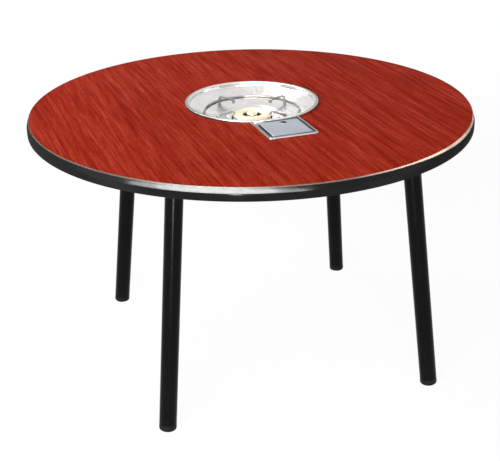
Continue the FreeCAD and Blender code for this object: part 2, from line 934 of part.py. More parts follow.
def swept(points, radii, radius):
    """A round bar along a path."""
    path = pipe_path(points, radii)
    first = points[1].sub(points[0])
    circle = Part.Wire([Part.makeCircle(radius, points[0], first)])
    return path.makePipeShell([circle], True, False)


def lead(angle, side):
    """The wire from the tap to an upright, through the tub's wall and up under the bowl."""
    x, y = upright_pin_place(angle)
    level = -lead_depth
    start = Vector(side * lead_spread, tap_y + tap_block_y / 2, level)
    inside = Vector(side * lead_spread, lead_bend - tub_radius, level)
    under = Vector(x, y, level)
    points = [start, inside, under, Vector(x, y, -pin_bottom_depth)]
    return swept(points, [lead_bend, lead_drop / 2], lead_radius)


# Pot support

def crease_seat():
    """Centre of the support's wire, where it rests on both slopes beside the crease."""
    line = bowl_line()
    shift = half_sheet + support_gap + support_wire_radius
    wall = heading(line[3], line[4])
    floor = heading(line[4], line[5])
    corner = line[4]
    turn = math.acos(wall[0] * floor[0] + wall[1] * floor[1])
    reach = shift / math.cos(turn / 2)
    lift = heading((0, 0), (wall[1] + floor[1], -wall[0] - floor[0]))
    return (corner[0] + lift[0] * reach, corner[1] + lift[1] * reach)


def pot_support():
    """A wire ring that lies in the bowl's crease, with four bent claws that carry the pot."""
    radius, level = crease_seat()
    hoop = Part.makeTorus(radius, support_wire_radius, Vector(0, 0, level))
    top = -claw_top_depth - claw_sheet / 2
    start = (radius, level)
    points = [start, (radius - claw_width / 2, top), (claw_inner_radius, top),
              (claw_inner_radius - claw_tip_drop / 3, top - claw_tip_drop)]
    section = sheet_section(points, [claw_bend, claw_bend], claw_sheet)
    section.translate(Vector(0, -claw_width / 2, 0))
    claw = section.extrude(Vector(0, claw_width, 0))
    shape = hoop
    for index in range(claw_count):
        shape = shape.fuse(turned_copy(claw, claw_turn + index * 360 / claw_count))
    return shape


# Control panel, well and flap

def control_panel():
    """The pressed panel: a raised border round a ledge, cut to the rim's curve at its far side."""
    bottom = seal_thickness
    top = panel_height
    far = -rim_radius / 2
    outer = rectangle(-panel_half_width, -panel_reach, panel_half_width, far, panel_corner, bottom,
                      top - bottom)
    inner_side = panel_half_width - border_width
    pocket = rectangle(-inner_side, border_width - panel_reach, inner_side, far + 2 * panel_corner,
                       panel_corner - border_width / 2, bottom + panel_sheet, top)
    shape = round_top(outer.cut(pocket), top, border_round)
    shape = shape.cut(disc(rim_radius + panel_rim_gap, bottom - cut_overrun, top + cut_overrun))
    opening = rectangle(-well_half_width - well_clearance, -well_near - well_clearance,
                        well_half_width + well_clearance, well_clearance - well_far, well_corner,
                        bottom - cut_overrun, top + 2 * cut_overrun)
    return shape.cut(opening)


def panel_seal():
    """A rubber strip under the panel's border, on three sides."""
    inner = well_half_width + well_flange + seal_thickness
    near = well_near + well_flange
    outer = rectangle(-panel_half_width, -panel_reach, panel_half_width, -rim_radius / 2, panel_corner, 0,
                      seal_thickness)
    hole = rectangle(-inner, -near, inner, 0, well_corner, -cut_overrun, seal_thickness + 2 * cut_overrun)
    return outer.cut(hole).cut(disc(rim_radius + panel_rim_gap, -cut_overrun, seal_thickness + cut_overrun))


def hinge_line():
    """The two ends of the hinge pin."""
    y = -well_near + well_sheet + flap_near_gap + hinge_setback
    reach = well_half_width + hinge_pin_overhang
    return Vector(-reach, y, hinge_height), Vector(reach, y, hinge_height)


def hinge_hole():
    """The running hole for the hinge pin, right across."""
    start, end = hinge_line()
    reach = Vector(cut_overrun, 0, 0)
    return rod(start.sub(reach), end.add(reach), hinge_pin_radius + hinge_clearance)


def control_well():
    """The open box under the flap, with its flange, the ears of the hinge and two stops."""
    top = seal_thickness + panel_sheet
    floor = -well_depth
    side = well_half_width
    outer = rectangle(-side, -well_near, side, -well_far, well_corner, floor, top - floor)
    flange_low = seal_thickness - well_sheet
    flange = rectangle(-side - well_flange, -well_near - well_sheet, side + well_flange,
                       -well_far, well_corner, flange_low, well_sheet)
    start, end = hinge_line()
    ear_half = hinge_ear_width / 2
    ears = Part.makeBox(2 * side, hinge_ear_width, hinge_ear_rise + hinge_height - top + hinge_pin_radius / 2,
                        Vector(-side, start.y - ear_half, top - cut_overrun / 100))
    hollow = rectangle(well_sheet - side, well_sheet - well_near, side - well_sheet, -well_far - well_sheet,
                       well_corner - well_sheet, floor + well_sheet, 2 * well_depth)
    shape = outer.fuse(flange).fuse(ears).cut(hollow).cut(hinge_hole())
    flap_bottom = flap_top - flap_depth
    stop_top = flap_bottom - stop_gap
    for centre in (-side / 2, side / 2):
        corner = Vector(centre - stop_width / 2, -well_far - well_sheet - stop_reach, stop_top - well_sheet)
        stop = Part.makeBox(stop_width, stop_reach, well_sheet, corner)
        shape = shape.fuse(stop)
    low = floor - cut_overrun
    shape = shape.cut(disc(bonnet_radius + bonnet_gap, low, floor + 2 * well_sheet, tap_x, tap_y))
    for x, y in tap_screw_places():
        shape = shape.cut(disc(tap_screw_diameter / 2 + screw_fit, low, floor + 2 * well_sheet, x, y))
    return shape


def control_flap():
    """The flap: a shallow folded tray with a lipped finger hole, hung on the hinge pin."""
    near = -well_near + well_sheet + flap_near_gap
    far = -well_far - well_sheet - flap_gap
    side = well_half_width - well_sheet - flap_gap
    bottom = flap_top - flap_depth
    tray = rectangle(-side, near, side, far, flap_corner, bottom, flap_depth)
    tray = round_top(tray, flap_top, flap_round)
    inside = rectangle(flap_sheet - side, near + flap_sheet, side - flap_sheet, far - flap_sheet,
                       flap_corner - flap_sheet, bottom - cut_overrun, flap_depth - flap_sheet + cut_overrun)
    tray = tray.cut(inside)
    hole_y = far - finger_hole_inset
    lip = disc(finger_hole_radius + finger_lip_width, flap_top - flap_sheet / 2, flap_top + finger_lip_height,
               finger_hole_shift, hole_y)
    lip = round_top(lip, flap_top + finger_lip_height, finger_lip_round)
    hole = disc(finger_hole_radius, bottom - cut_overrun, flap_top + cut_overrun, finger_hole_shift, hole_y)
    return tray.fuse(lip).cut(hole).cut(hinge_hole())


def hinge_pin():
    """The pin that the flap turns on, held in the well's ears."""
    start, end = hinge_line()
    return rod(start, end, hinge_pin_radius)


# Gas tap

def tap_screw_places():
    """The two screws that hold the tap under the well's floor."""
    return [(tap_x - tap_screw_spread, tap_y), (tap_x + tap_screw_spread, tap_y)]


def tap_body():
    """The tap's block with its bonnet through the well's floor, and the spring's chamber."""
    under = -well_depth
    bonnet_top = under + bonnet_rise + well_sheet
    block = Part.makeBox(tap_block_x, tap_block_y, tap_block_depth - well_depth,
                         Vector(tap_x - tap_block_x / 2, tap_y - tap_block_y / 2, -tap_block_depth))
    flange = rectangle(tap_x - tap_flange_length / 2, tap_y - tap_flange_width / 2,
                       tap_x + tap_flange_length / 2, tap_y + tap_flange_width / 2,
                       tap_flange_width / 3, under - tap_flange_thickness, tap_flange_thickness)
    bonnet = disc(bonnet_radius, under - tap_flange_thickness, bonnet_top, tap_x, tap_y)
    shape = block.fuse(flange).fuse(bonnet)
    chamber = disc(cavity_radius, -cavity_floor_depth, bonnet_top - bonnet_lid, tap_x, tap_y)
    bore = disc(spindle_radius + spindle_fit, -spindle_bottom_depth - tap_travel - spindle_end_gap,
                bonnet_top + cut_overrun, tap_x, tap_y)
    shape = shape.cut(chamber).cut(bore)
    for x, y in tap_screw_places():
        shape = shape.cut(disc(tap_screw_diameter / 2 + screw_fit, under - tap_flange_thickness - cut_overrun,
                               under + cut_overrun, x, y))
    reach = tap_block_y / 2 + cut_overrun
    shape = shape.cut(rod(gas_axis(tap_y - reach), gas_axis(tap_y + reach), inlet_bore_radius))
    return shape.removeSplitter()


def tap_screws():
    """Two pan-head screws in the well's floor."""
    floor = -well_depth + well_sheet
    screws = []
    for x, y in tap_screw_places():
        head = disc(tap_screw_head / 2, floor, floor + tap_screw_head_height, x, y)
        shank = disc(tap_screw_diameter / 2, -well_depth - tap_flange_thickness, floor, x, y)
        screws.append(head.fuse(shank))
    return Part.makeCompound(screws)


def spring_seat():
    """The washer that the spindle's collar pushes down on the spring."""
    top = seat_top()
    washer = disc(seat_radius, top - seat_thickness, top, tap_x, tap_y)
    return washer.cut(disc(spindle_radius + spindle_fit, top - seat_thickness - cut_overrun,
                           top + cut_overrun, tap_x, tap_y))


def collar_top():
    """Height of the spindle's collar, just under the bonnet's lid."""
    return bonnet_rise + well_sheet - well_depth - bonnet_lid - spring_end_gap


def seat_top():
    """Height of the spring seat's upper face, just under the spindle's collar."""
    return collar_top() - collar_height - spring_end_gap


def tap_spring():
    """The coil spring that lifts the knob again, in short straight lengths of faceted wire."""
    low = -cavity_floor_depth + spring_end_gap + spring_wire / 2
    high = seat_top() - seat_thickness - spring_end_gap - spring_wire / 2
    middle = (cavity_radius + spindle_radius) / 2
    count = spring_turns * spring_sides
    points = []
    for index in range(count + 1):
        angle = 2 * math.pi * index / spring_sides
        points.append(Vector(tap_x + middle * math.cos(angle), tap_y + middle * math.sin(angle),
                             low + (high - low) * index / count))
    rim = []
    for index in range(spring_wire_sides + 1):
        angle = 2 * math.pi * index / spring_wire_sides
        rim.append(Vector(spring_wire / 2 * math.cos(angle), spring_wire / 2 * math.sin(angle), 0))
    section = Part.makePolygon(rim)
    section.Placement = FreeCAD.Placement(points[0], FreeCAD.Rotation(up, points[1].sub(points[0])))
    return Part.Wire(Part.makePolygon(points)).makePipeShell([section], True, False, mitred)


def tap_spindle():
    """The spindle with its collar, from the tap's plug up into the knob."""
    shape = disc(spindle_radius, -spindle_bottom_depth, -spindle_top_depth, tap_x, tap_y)
    shape = shape.fuse(disc(collar_radius, collar_top() - collar_height, collar_top(), tap_x, tap_y))
    flat = Part.makeBox(2 * spindle_radius, spindle_radius, spindle_top_depth,
                        Vector(tap_x - spindle_radius, tap_y + spindle_radius / 2, flat_bottom()))
    return shape.cut(flat)


def flat_bottom():
    """Where the flat on the spindle ends, at the ceiling of the knob's recess."""
    return knob_bottom() + knob_recess_depth


def knob_bottom():
    """Height of the knob's lower edge, which stays off the well's floor when it is pressed."""
    return -well_depth + well_sheet + tap_travel + knob_press_gap


def control_knob():
    """A moulded knob: a skirt, a round grip with a finger bar across it, and a pointer groove."""
    low = knob_bottom()
    shoulder = low + knob_skirt_height
    bar_low = -knob_top_depth - knob_bar_height
    outline = [(0, low), (knob_radius, low), (knob_radius, shoulder), (knob_grip_radius, bar_low),
               (knob_grip_radius, -knob_top_depth), (0, -knob_top_depth)]
    shape = turned(outline, [0, 0, knob_round, knob_round, knob_round, 0])
    half = knob_bar_width / 2
    for side in (-1, 1):
        centre = side * (half + knob_radius)
        scoop = rectangle(-knob_radius, centre - knob_radius, knob_radius, centre + knob_radius, knob_round,
                          bar_low, knob_bar_height + cut_overrun)
        shape = shape.cut(scoop)
    groove = Part.makeBox(pointer_width, knob_grip_radius, pointer_depth + cut_overrun,
                          Vector(-pointer_width / 2, 0, -knob_top_depth - pointer_depth))
    shape = turned_copy(shape.removeSplitter(), 90).cut(groove)
    shape.translate(Vector(tap_x, tap_y, 0))
    shape = shape.cut(disc(bonnet_radius + knob_recess_gap, low - cut_overrun, flat_bottom(), tap_x, tap_y))
    bore = disc(spindle_radius + knob_hub_clearance, low - cut_overrun,
                knob_hub_clearance - spindle_top_depth, tap_x, tap_y)
    flat_y = tap_y + spindle_radius / 2 + knob_hub_clearance
    key = Part.makeBox(2 * knob_grip_radius, spindle_radius, spindle_top_depth,
                       Vector(tap_x - knob_grip_radius, flat_y, flat_bottom()))
    return shape.cut(bore.cut(key))


# Gas route

def gas_axis(y):
    """A point on the line of the gas pipe, injector and mixing tube."""
    return Vector(0, y, -gas_depth)


def injector_start():
    """Where the injector's hexagon bears on the inside of the tub's wall."""
    return -math.sqrt((tub_radius - tub_sheet) ** 2 - injector_hex_radius ** 2) + injector_wall_gap


def injector():
    """The brass injector through the tub's wall, with its nose in the mixing tube's mouth."""
    start = injector_start()
    hex_end = start + injector_hex_length
    nose_end = hex_end + injector_nose_length
    thread_start = -tub_radius - injector_thread_length
    shape = rod(gas_axis(thread_start), gas_axis(start), injector_radius)
    shape = shape.fuse(hexagon_bar(gas_axis(start), gas_axis(hex_end), injector_hex_radius))
    nose = Part.makeCone(injector_radius, injector_nose_radius, injector_nose_length, gas_axis(hex_end),
                         Vector(0, 1, 0))
    jet = rod(gas_axis(thread_start - cut_overrun), gas_axis(nose_end + cut_overrun),
              injector_nose_radius / 4)
    return shape.fuse(nose).cut(jet)


def pipe_ends():
    """Where the gas pipe starts on the tap and ends on the injector."""
    return tap_y + tap_block_y / 2, -tub_radius - injector_thread_length


def gas_pipe():
    """The steel pipe from the tap to the injector."""
    start, end = pipe_ends()
    outer = rod(gas_axis(start), gas_axis(end), pipe_radius)
    return outer.cut(rod(gas_axis(start - cut_overrun), gas_axis(end + cut_overrun), pipe_radius - pipe_wall))


def pipe_nuts():
    """The two union nuts on the pipe's ends."""
    start, end = pipe_ends()
    nuts = []
    for low in (start, end - pipe_nut_length):
        nut = hexagon_bar(gas_axis(low), gas_axis(low + pipe_nut_length), pipe_nut_radius)
        hole = rod(gas_axis(low - cut_overrun), gas_axis(low + pipe_nut_length + cut_overrun),
                   pipe_radius + screw_fit)
        nuts.append(nut.cut(hole))
    return Part.makeCompound(nuts)


def gas_inlet():
    """The barbed nozzle that the gas hose is pushed over."""
    face = tap_y - tap_block_y / 2
    root = face - inlet_collar_length
    shape = hexagon_bar(gas_axis(face), gas_axis(root), inlet_hex_radius)
    for index in range(barb_count):
        start = root - index * barb_length
        barb = Part.makeCone(barb_radius, barb_root_radius, barb_length, gas_axis(start), Vector(0, -1, 0))
        shape = shape.fuse(barb)
    end = root - barb_count * barb_length
    bore = rod(gas_axis(face + cut_overrun), gas_axis(end - cut_overrun), inlet_bore_radius)
    return shape.cut(bore)


# Clamps

def clamp_bracket():
    """A bent steel bracket on the tub, whose foot reaches out under the board."""
    wall = tub_radius + clamp_sheet / 2
    level = -board_thickness - clamp_drop
    points = [(wall, level - clamp_leg), (wall, level), (wall + clamp_reach, level)]
    section = sheet_section(points, [clamp_bend], clamp_sheet)
    section.translate(Vector(0, -clamp_width / 2, 0))
    shape = section.extrude(Vector(0, clamp_width, 0))
    x = clamp_screw_x()
    shape = shape.cut(disc(clamp_screw_radius + clamp_screw_fit, level - cut_overrun, level + cut_overrun, x))
    return shape.cut(disc(tub_radius, level - clamp_leg - cut_overrun, level + cut_overrun))


def clamp_screw_x():
    """Distance of the clamp screw from the bowl's centre."""
    return tub_radius + clamp_reach - clamp_screw_inset


def clamp_screw():
    """A screw with a round thumb grip, pressing up against the board."""
    level = -board_thickness - clamp_drop
    low = level - clamp_screw_tail
    x = clamp_screw_x()
    shank = disc(clamp_screw_radius, low, -board_thickness, x)
    grip = round_top(disc(clamp_wing_radius, low - clamp_wing_height, low, x), low, clamp_wing_height / 4)
    return shank.fuse(grip)


def clamps(piece):
    """One clamp piece at each clamp's place round the tub."""
    return Part.makeCompound([turned_copy(piece, azimuth) for azimuth in clamp_azimuths])


# Write every piece to its own file

os.makedirs("parts", exist_ok=True)

save("table_core", table_core())
save("top_laminate", top_skin(core_top, table_height))
save("backing_sheet", top_skin(underside, core_bottom).cut(pilot_holes()))
save("edge_band", edge_band())
save("leg_bolts", leg_bolts())
save("board_screws", board_screws())
for place, name in enumerate(leg_names):
    save("leg_plate_" + name, leg_plate(leg_azimuths[place]))
    save("leg_" + name, leg(leg_azimuths[place]))
    save("foot_" + name, foot(leg_azimuths[place]))
for place, name in enumerate(("front", "right", "back", "left")):
    save("rail_" + name, rail(place))

save("drip_bowl", seat_cooker(drip_bowl()))
save("rim_seal", seat_cooker(rim_seal()))
save("heat_shield_tub", seat_cooker(tub()))
save("burner_casting", seat_cooker(burner_casting()))
save("burner_ring", seat_cooker(burner_ring()))
save("burner_cap", seat_cooker(burner_cap()))
save("burner_screws", seat_cooker(burner_screws()))
save("igniter", seat_cooker(upright_pin(igniter_angle)))
save("flame_sensor", seat_cooker(upright_pin(sensor_angle)))
save("igniter_lead", seat_cooker(lead(igniter_angle, 1)))
save("sensor_lead", seat_cooker(lead(sensor_angle, -1)))
save("pot_support", seat_cooker(pot_support()))
save("control_panel", seat_cooker(control_panel()))
save("panel_seal", seat_cooker(panel_seal()))
save("control_well", seat_cooker(control_well()))
save("control_flap", seat_cooker(control_flap()))
save("hinge_pin", seat_cooker(hinge_pin()))
save("tap_body", seat_cooker(tap_body()))
save("tap_screws", seat_cooker(tap_screws()))
save("spring_seat", seat_cooker(spring_seat()))
save("tap_spring", seat_cooker(tap_spring()))
save("tap_spindle", seat_cooker(tap_spindle()))
save("control_knob", seat_cooker(control_knob()))
save("injector", seat_cooker(injector()))
save("gas_pipe", seat_cooker(gas_pipe()))
save("pipe_nuts", seat_cooker(pipe_nuts()))
save("gas_inlet", seat_cooker(gas_inlet()))
save("clamp_brackets", seat_cooker(clamps(clamp_bracket())))
save("clamp_screws", seat_cooker(clamps(clamp_screw())))
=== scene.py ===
# %% [markdown]
# A hot-pot dining table. A round red wood-grain top with a black edging stands on splayed black
# tube legs, and a stainless gas cooker is sunk into its middle, with a flap over the gas knob.
# The solids come from the CAD model. This lesson gives them their finishes, makes the pieces whose
# polish shows every facet anew, adds what repeats, and sets up the light and the camera.

# %% Load the model
import json
import math
import bmesh
import bpy
from mathutils import Matrix, Quaternion, Vector


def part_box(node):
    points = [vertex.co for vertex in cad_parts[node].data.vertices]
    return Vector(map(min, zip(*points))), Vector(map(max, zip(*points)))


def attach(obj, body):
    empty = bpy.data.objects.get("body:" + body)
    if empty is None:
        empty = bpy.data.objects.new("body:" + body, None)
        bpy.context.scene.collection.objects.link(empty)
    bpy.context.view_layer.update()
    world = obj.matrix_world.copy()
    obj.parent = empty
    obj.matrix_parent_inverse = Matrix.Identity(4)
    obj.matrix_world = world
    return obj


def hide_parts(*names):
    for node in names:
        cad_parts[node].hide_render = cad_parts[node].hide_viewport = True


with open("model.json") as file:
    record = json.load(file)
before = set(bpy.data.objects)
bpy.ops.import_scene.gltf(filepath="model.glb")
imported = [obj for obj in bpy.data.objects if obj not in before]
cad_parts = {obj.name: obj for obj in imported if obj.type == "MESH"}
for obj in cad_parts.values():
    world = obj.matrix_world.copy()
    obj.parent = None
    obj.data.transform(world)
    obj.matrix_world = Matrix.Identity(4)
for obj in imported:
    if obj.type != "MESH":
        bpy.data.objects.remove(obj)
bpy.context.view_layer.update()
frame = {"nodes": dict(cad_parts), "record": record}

print("pieces from CAD:", len(frame["nodes"]))

# %% [markdown]
# The places that this script needs are read from the model, so that both always agree. The top's
# surface is the laminate's upper side. The bowl gives the cooker's middle, and the cooker stands
# turned a little against the legs, as the photograph shows.

# %% Read the main places
mm = 0.001


def over(low, high, height):
    """The point at that height over the middle of a box."""
    return Vector(((low.x + high.x) / 2, (low.y + high.y) / 2, height))


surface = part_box("top_laminate")[1].z
band_low, band_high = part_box("edge_band")
band_radius = (band_high.x - band_low.x) / 2
bowl_centre = over(*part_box("drip_bowl"), surface)
cooker_turn = math.radians(4.0)
print("surface", round(surface, 4), "radius", round(band_radius, 4), "bowl at", bowl_centre.to_tuple(4))


# %% [markdown]
# Colours in a photograph are stored for the eye, and Blender counts in light. This helper turns
# the red, green and blue of a picture into light, so a colour can be written as it was seen.

# %% A helper for colours
def paint(red, green, blue):
    """A colour as seen in a picture, turned into light."""
    def light(value):
        share = value / 255
        return share / 12.92 if share <= 0.04045 else ((share + 0.055) / 1.055) ** 2.4
    return (light(red), light(green), light(blue), 1.0)


# %% [markdown]
# A node tree could be put together by hand in the editor. Written as code it can be read, changed
# and run again, and two helpers keep it short: one links nodes, and one makes a node and feeds
# each of its inputs with either a value or another node's output.

# %% Helpers for node trees
def join(tree, *pairs):
    """Links each pair of an output and an input."""
    for source, target in pairs:
        tree.links.new(source, target)


def add(tree, kind, settings=None, inputs=None):
    """A node of that kind, with its settings, and its inputs fed by values or outputs."""
    made = tree.nodes.new(kind)
    for name, value in (settings or {}).items():
        setattr(made, name, value)
    for name, value in (inputs or {}).items():
        if isinstance(value, bpy.types.NodeSocket):
            join(tree, (value, made.inputs[name]))
        else:
            made.inputs[name].default_value = value
    return made


# %% [markdown]
# Most finishes here share a few effects: a cloudy variation, streaks of grain, brushed lines, and
# a rough cast skin. They could be copied into every material. Built once as a shader group with
# named inputs, each can be placed in any finish with its own scale.

# %% Helpers for groups
def name_inputs(tree, kinds):
    """Gives a group its inputs, each with a label and a kind."""
    for label, kind in kinds.items():
        tree.interface.new_socket(label, in_out="INPUT", socket_type="NodeSocket" + kind)


def shader_group(name, kinds, outputs):
    """An empty shader group with named inputs and outputs."""
    tree = bpy.data.node_groups.new(name, "ShaderNodeTree")
    name_inputs(tree, kinds)
    for label in outputs:
        tree.interface.new_socket(label, in_out="OUTPUT", socket_type="NodeSocketFloat")
    print("group", name)
    return tree, tree.nodes.new("NodeGroupInput").outputs, tree.nodes.new("NodeGroupOutput").inputs


# %% [markdown]
# The cloudy variation is plain noise, brought into a range between a low and a high value. It
# varies roughness, and it keeps large faces from looking like one flat colour.

# %% Group: cloudy variation
def spread(tree, value, start, end, low=0.0, high=1.0):
    """A value brought from one range into another, which it never leaves."""
    made = add(tree, "ShaderNodeMapRange", None,
               {"Value": value, "From Min": start, "From Max": end, "To Min": low, "To Max": high})
    return made.outputs["Result"]


cloudy, given, result = shader_group(
    "Cloudy variation", {"Vector": "Vector", "Scale": "Float", "Low": "Float", "High": "Float"}, ["Value"])
noise = add(cloudy, "ShaderNodeTexNoise", None,
            {"Vector": given["Vector"], "Scale": given["Scale"], "Detail": 4.0, "Roughness": 0.55})
cloud = spread(cloudy, noise.outputs["Fac"], 0.3, 0.7, given["Low"], given["High"])
join(cloudy, (cloud, result["Value"]))

# %% [markdown]
# Wood grain runs one way, so the noise is squeezed along that way: its vector is scaled down along
# Y before it reaches the noise. The streaks are broad, and the pores are short dark flecks.

# %% Group: grain streaks
def scaled(tree, vector, factors):
    """A vector with each of its parts scaled."""
    made = add(tree, "ShaderNodeVectorMath", {"operation": "MULTIPLY"}, {0: vector, 1: factors})
    return made.outputs["Vector"]


grain, given, result = shader_group(
    "Grain streaks", {"Vector": "Vector", "Streak Scale": "Float", "Pore Scale": "Float"}, ["Streak", "Pore"])
streaks = add(grain, "ShaderNodeTexNoise", None,
              {"Vector": scaled(grain, given["Vector"], (1.0, 0.04, 1.0)), "Scale": given["Streak Scale"],
               "Detail": 6.0, "Roughness": 0.70, "Distortion": 0.4})
pores = add(grain, "ShaderNodeTexNoise", None,
            {"Vector": scaled(grain, given["Vector"], (1.0, 0.22, 1.0)), "Scale": given["Pore Scale"],
             "Detail": 2.0, "Roughness": 0.5})
join(grain, (spread(grain, streaks.outputs["Fac"], 0.32, 0.68), result["Streak"]),
     (spread(grain, pores.outputs["Fac"], 0.54, 0.70), result["Pore"]))

# %% [markdown]
# Brushed and spun metal has fine lines that differ only across the brushing. Noise with a single
# dimension does that: it gets one number, such as the distance from the axis on a spun bowl.

# %% Group: brushed lines
brushed, given, result = shader_group(
    "Brushed lines", {"Across": "Float", "Scale": "Float", "Low": "Float", "High": "Float"}, ["Line", "Value"])
lines = add(brushed, "ShaderNodeTexNoise", {"noise_dimensions": "1D"},
            {"W": given["Across"], "Scale": given["Scale"], "Detail": 3.0, "Roughness": 0.7}).outputs["Fac"]
join(brushed, (lines, result["Line"]),
     (spread(brushed, lines, 0.25, 0.75, given["Low"], given["High"]), result["Value"]))

# %% [markdown]
# Castings, powder coat and moulded plastic all have a fine skin of small bumps, which differ only
# in size and depth. The group gives a height, and each finish sets how strong it is.

# %% Group: pebbled skin
def number(tree, operation, *values):
    """A sum, product or other operation on numbers or outputs."""
    made = add(tree, "ShaderNodeMath", {"operation": operation}, dict(enumerate(values)))
    return made.outputs["Value"]


pebbled, given, result = shader_group("Pebbled skin", {"Vector": "Vector", "Scale": "Float"}, ["Height"])
common = {"Vector": given["Vector"], "Scale": given["Scale"]}
cells = add(pebbled, "ShaderNodeTexVoronoi", {"feature": "SMOOTH_F1"}, {**common, "Smoothness": 0.6})
noise = add(pebbled, "ShaderNodeTexNoise", None, {**common, "Detail": 3.0})
join(pebbled, (number(pebbled, "ADD", cells.outputs["Distance"], noise.outputs["Fac"]), result["Height"]))

# %% [markdown]
# Every finish starts the same way: a material with one Principled shader whose plain values are
# set on its own sockets, and Object coordinates, which stay with the piece when a joint moves it.
# The material is kept under the name of its slot, by which the pieces will ask for it.

# %% Start a finish
finishes = {}


def own_place(tree):
    """The coordinates of the piece that a material is on."""
    return add(tree, "ShaderNodeTexCoord").outputs["Object"]


def new_finish(slot, name, values):
    """Makes a slot's material, and gives its tree, its shader and the piece's coordinates."""
    finishes[slot] = material = bpy.data.materials.new(name)
    material.use_nodes = True
    shader = material.node_tree.nodes["Principled BSDF"]
    for label, value in values.items():
        shader.inputs[label].default_value = value
    print("finish", name)
    return material.node_tree, shader, own_place(material.node_tree)


# %% [markdown]
# The groups are placed on those coordinates. What they give goes into colour and roughness, or
# into a bump, which tilts the shading without moving the surface and costs no faces.

# %% Helpers for finishes
def place_group(tree, group, place, values):
    """One use of a shader group, with its coordinates and values."""
    return add(tree, "ShaderNodeGroup", {"node_tree": group}, {0: place, **values}).outputs


def clouds(tree, place, scale, low=0.0, high=1.0):
    """The cloudy variation between two values."""
    return place_group(tree, cloudy, place, {"Scale": scale, "Low": low, "High": high})["Value"]


def blend(tree, share, first, second, kind="MIX"):
    """A mix of two colours by a share that varies over the surface."""
    mix = add(tree, "ShaderNodeMix", {"data_type": "RGBA", "blend_type": kind}, {0: share, 6: first, 7: second})
    return mix.outputs[2]


def bump(tree, target, height, strength, depth):
    """Lets a height push the shading about, on a shader or under another bump. Depth is in metres."""
    made = add(tree, "ShaderNodeBump", None, {"Height": height, "Strength": strength, "Distance": depth})
    join(tree, (made.outputs["Normal"], target.inputs["Normal"]))
    return made


def skin(tree, target, place, scale, strength, depth=0.3 * mm):
    """A pebbled skin on a shader."""
    bump(tree, target, place_group(tree, pebbled, place, {"Scale": scale})["Height"], strength, depth)


def cover(tree, colour, roughness=None):
    """Gives a finish its colour and its roughness."""
    shader = tree.nodes["Principled BSDF"]
    join(tree, (colour, shader.inputs["Base Color"]))
    if roughness is not None:
        join(tree, (roughness, shader.inputs["Roughness"]))


# %% [markdown]
# The top is a high-pressure laminate: a printed red wood grain under a clear satin layer. The
# grain runs from front to back, turned like the cooker. A picture of wood could be laid on, but
# noise never repeats and needs no file. A ramp turns its streaks into three reds, and the pores
# darken them a little. The surface itself is almost smooth.

# %% Finish: red wood-grain laminate
tree, shader, place = new_finish("laminate", "red_laminate", {"Specular IOR Level": 0.003})
lengthwise = add(tree, "ShaderNodeMapping", {"vector_type": "TEXTURE"},
                 {"Vector": place, "Rotation": (0.0, 0.0, cooker_turn)})
wood = place_group(tree, grain, lengthwise.outputs["Vector"], {"Streak Scale": 110.0, "Pore Scale": 330.0})
tone = add(tree, "ShaderNodeValToRGB", None, {"Fac": wood["Streak"]})
stops = tone.color_ramp.elements
stops[0].position, stops[0].color = 0.08, paint(131, 24, 7)
stops[1].position, stops[1].color = 0.95, paint(176, 62, 44)
stops.new(0.5).color = paint(155, 42, 25)
pored = blend(tree, wood["Pore"], tone.outputs["Color"], (0.72, 0.58, 0.52, 1.0), "MULTIPLY")
aged = blend(tree, clouds(tree, place, 2.6), pored, (0.93, 0.95, 0.97, 1.0), "MULTIPLY")
cover(tree, aged, clouds(tree, place, 14.0, 0.40, 0.50))
bump(tree, shader, wood["Pore"], 0.15, 0.05 * mm)

# %% [markdown]
# The edging is glossy black plastic. It was extruded, so it has a faint ripple, and its gloss
# varies a little where hands and cloths have been. Its polish is fine but shallow, so the gloss
# breaks up where the strip is seen along its length; Layer Weight gives that angle. Beside the
# laminate a pale line is painted into the colour: a painted highlight for the light that the
# edging's rounded top catches. Faces of its own would give it hard ends, so the distance from the
# table's middle picks it out. The painted highlight is wider and paler on the right.

# %% Finish: black edging
def split(tree, vector):
    """The X, Y and Z of a vector."""
    return add(tree, "ShaderNodeSeparateXYZ", None, {"Vector": vector}).outputs


def from_axis(tree, vector):
    """The distance from the upright axis."""
    flat = scaled(tree, vector, (1.0, 1.0, 0.0))
    return add(tree, "ShaderNodeVectorMath", {"operation": "LENGTH"}, {0: flat}).outputs["Value"]


lip_start, lip_full = band_radius - 4.2 * mm, band_radius - 5.0 * mm
tree, shader, place = new_finish("edging", "black_edging", {"Specular IOR Level": 0.18})
rightward = split(tree, place)["X"]
widened = spread(tree, rightward, 0.22, 0.40, 0.0, 1.5 * mm)
lip = spread(tree, number(tree, "SUBTRACT", from_axis(tree, place), widened), lip_start, lip_full)
# The pale lip line is a painted highlight, made wider and paler toward the right.
lip_highlight_share = number(tree, "MULTIPLY", lip, clouds(tree, place, 14.0, 0.55, 1.0))
painted_lip_highlight = number(tree, "MULTIPLY", lip_highlight_share, spread(tree, rightward, 0.06, 0.27, 0.13, 1.0))
black = blend(tree, clouds(tree, place, 30.0), paint(3, 3, 4), paint(6, 5, 7))
grazing = add(tree, "ShaderNodeLayerWeight", None, {"Blend": 0.5}).outputs["Facing"]
cover(tree, blend(tree, painted_lip_highlight, black, paint(240, 216, 194)),
      spread(tree, grazing, 0.15, 0.40, clouds(tree, place, 60.0, 0.10, 0.16)))
skin(tree, shader, place, 160.0, 0.05, 0.4 * mm)

# %% [markdown]
# The legs, plates and rails are powder-coated. Powder flows out into a fine orange peel, so the
# bumps are small and soft, and the gloss is satin. Dust gathers near the floor, where the colour
# turns a little greyer; the height comes from the piece's own Z.

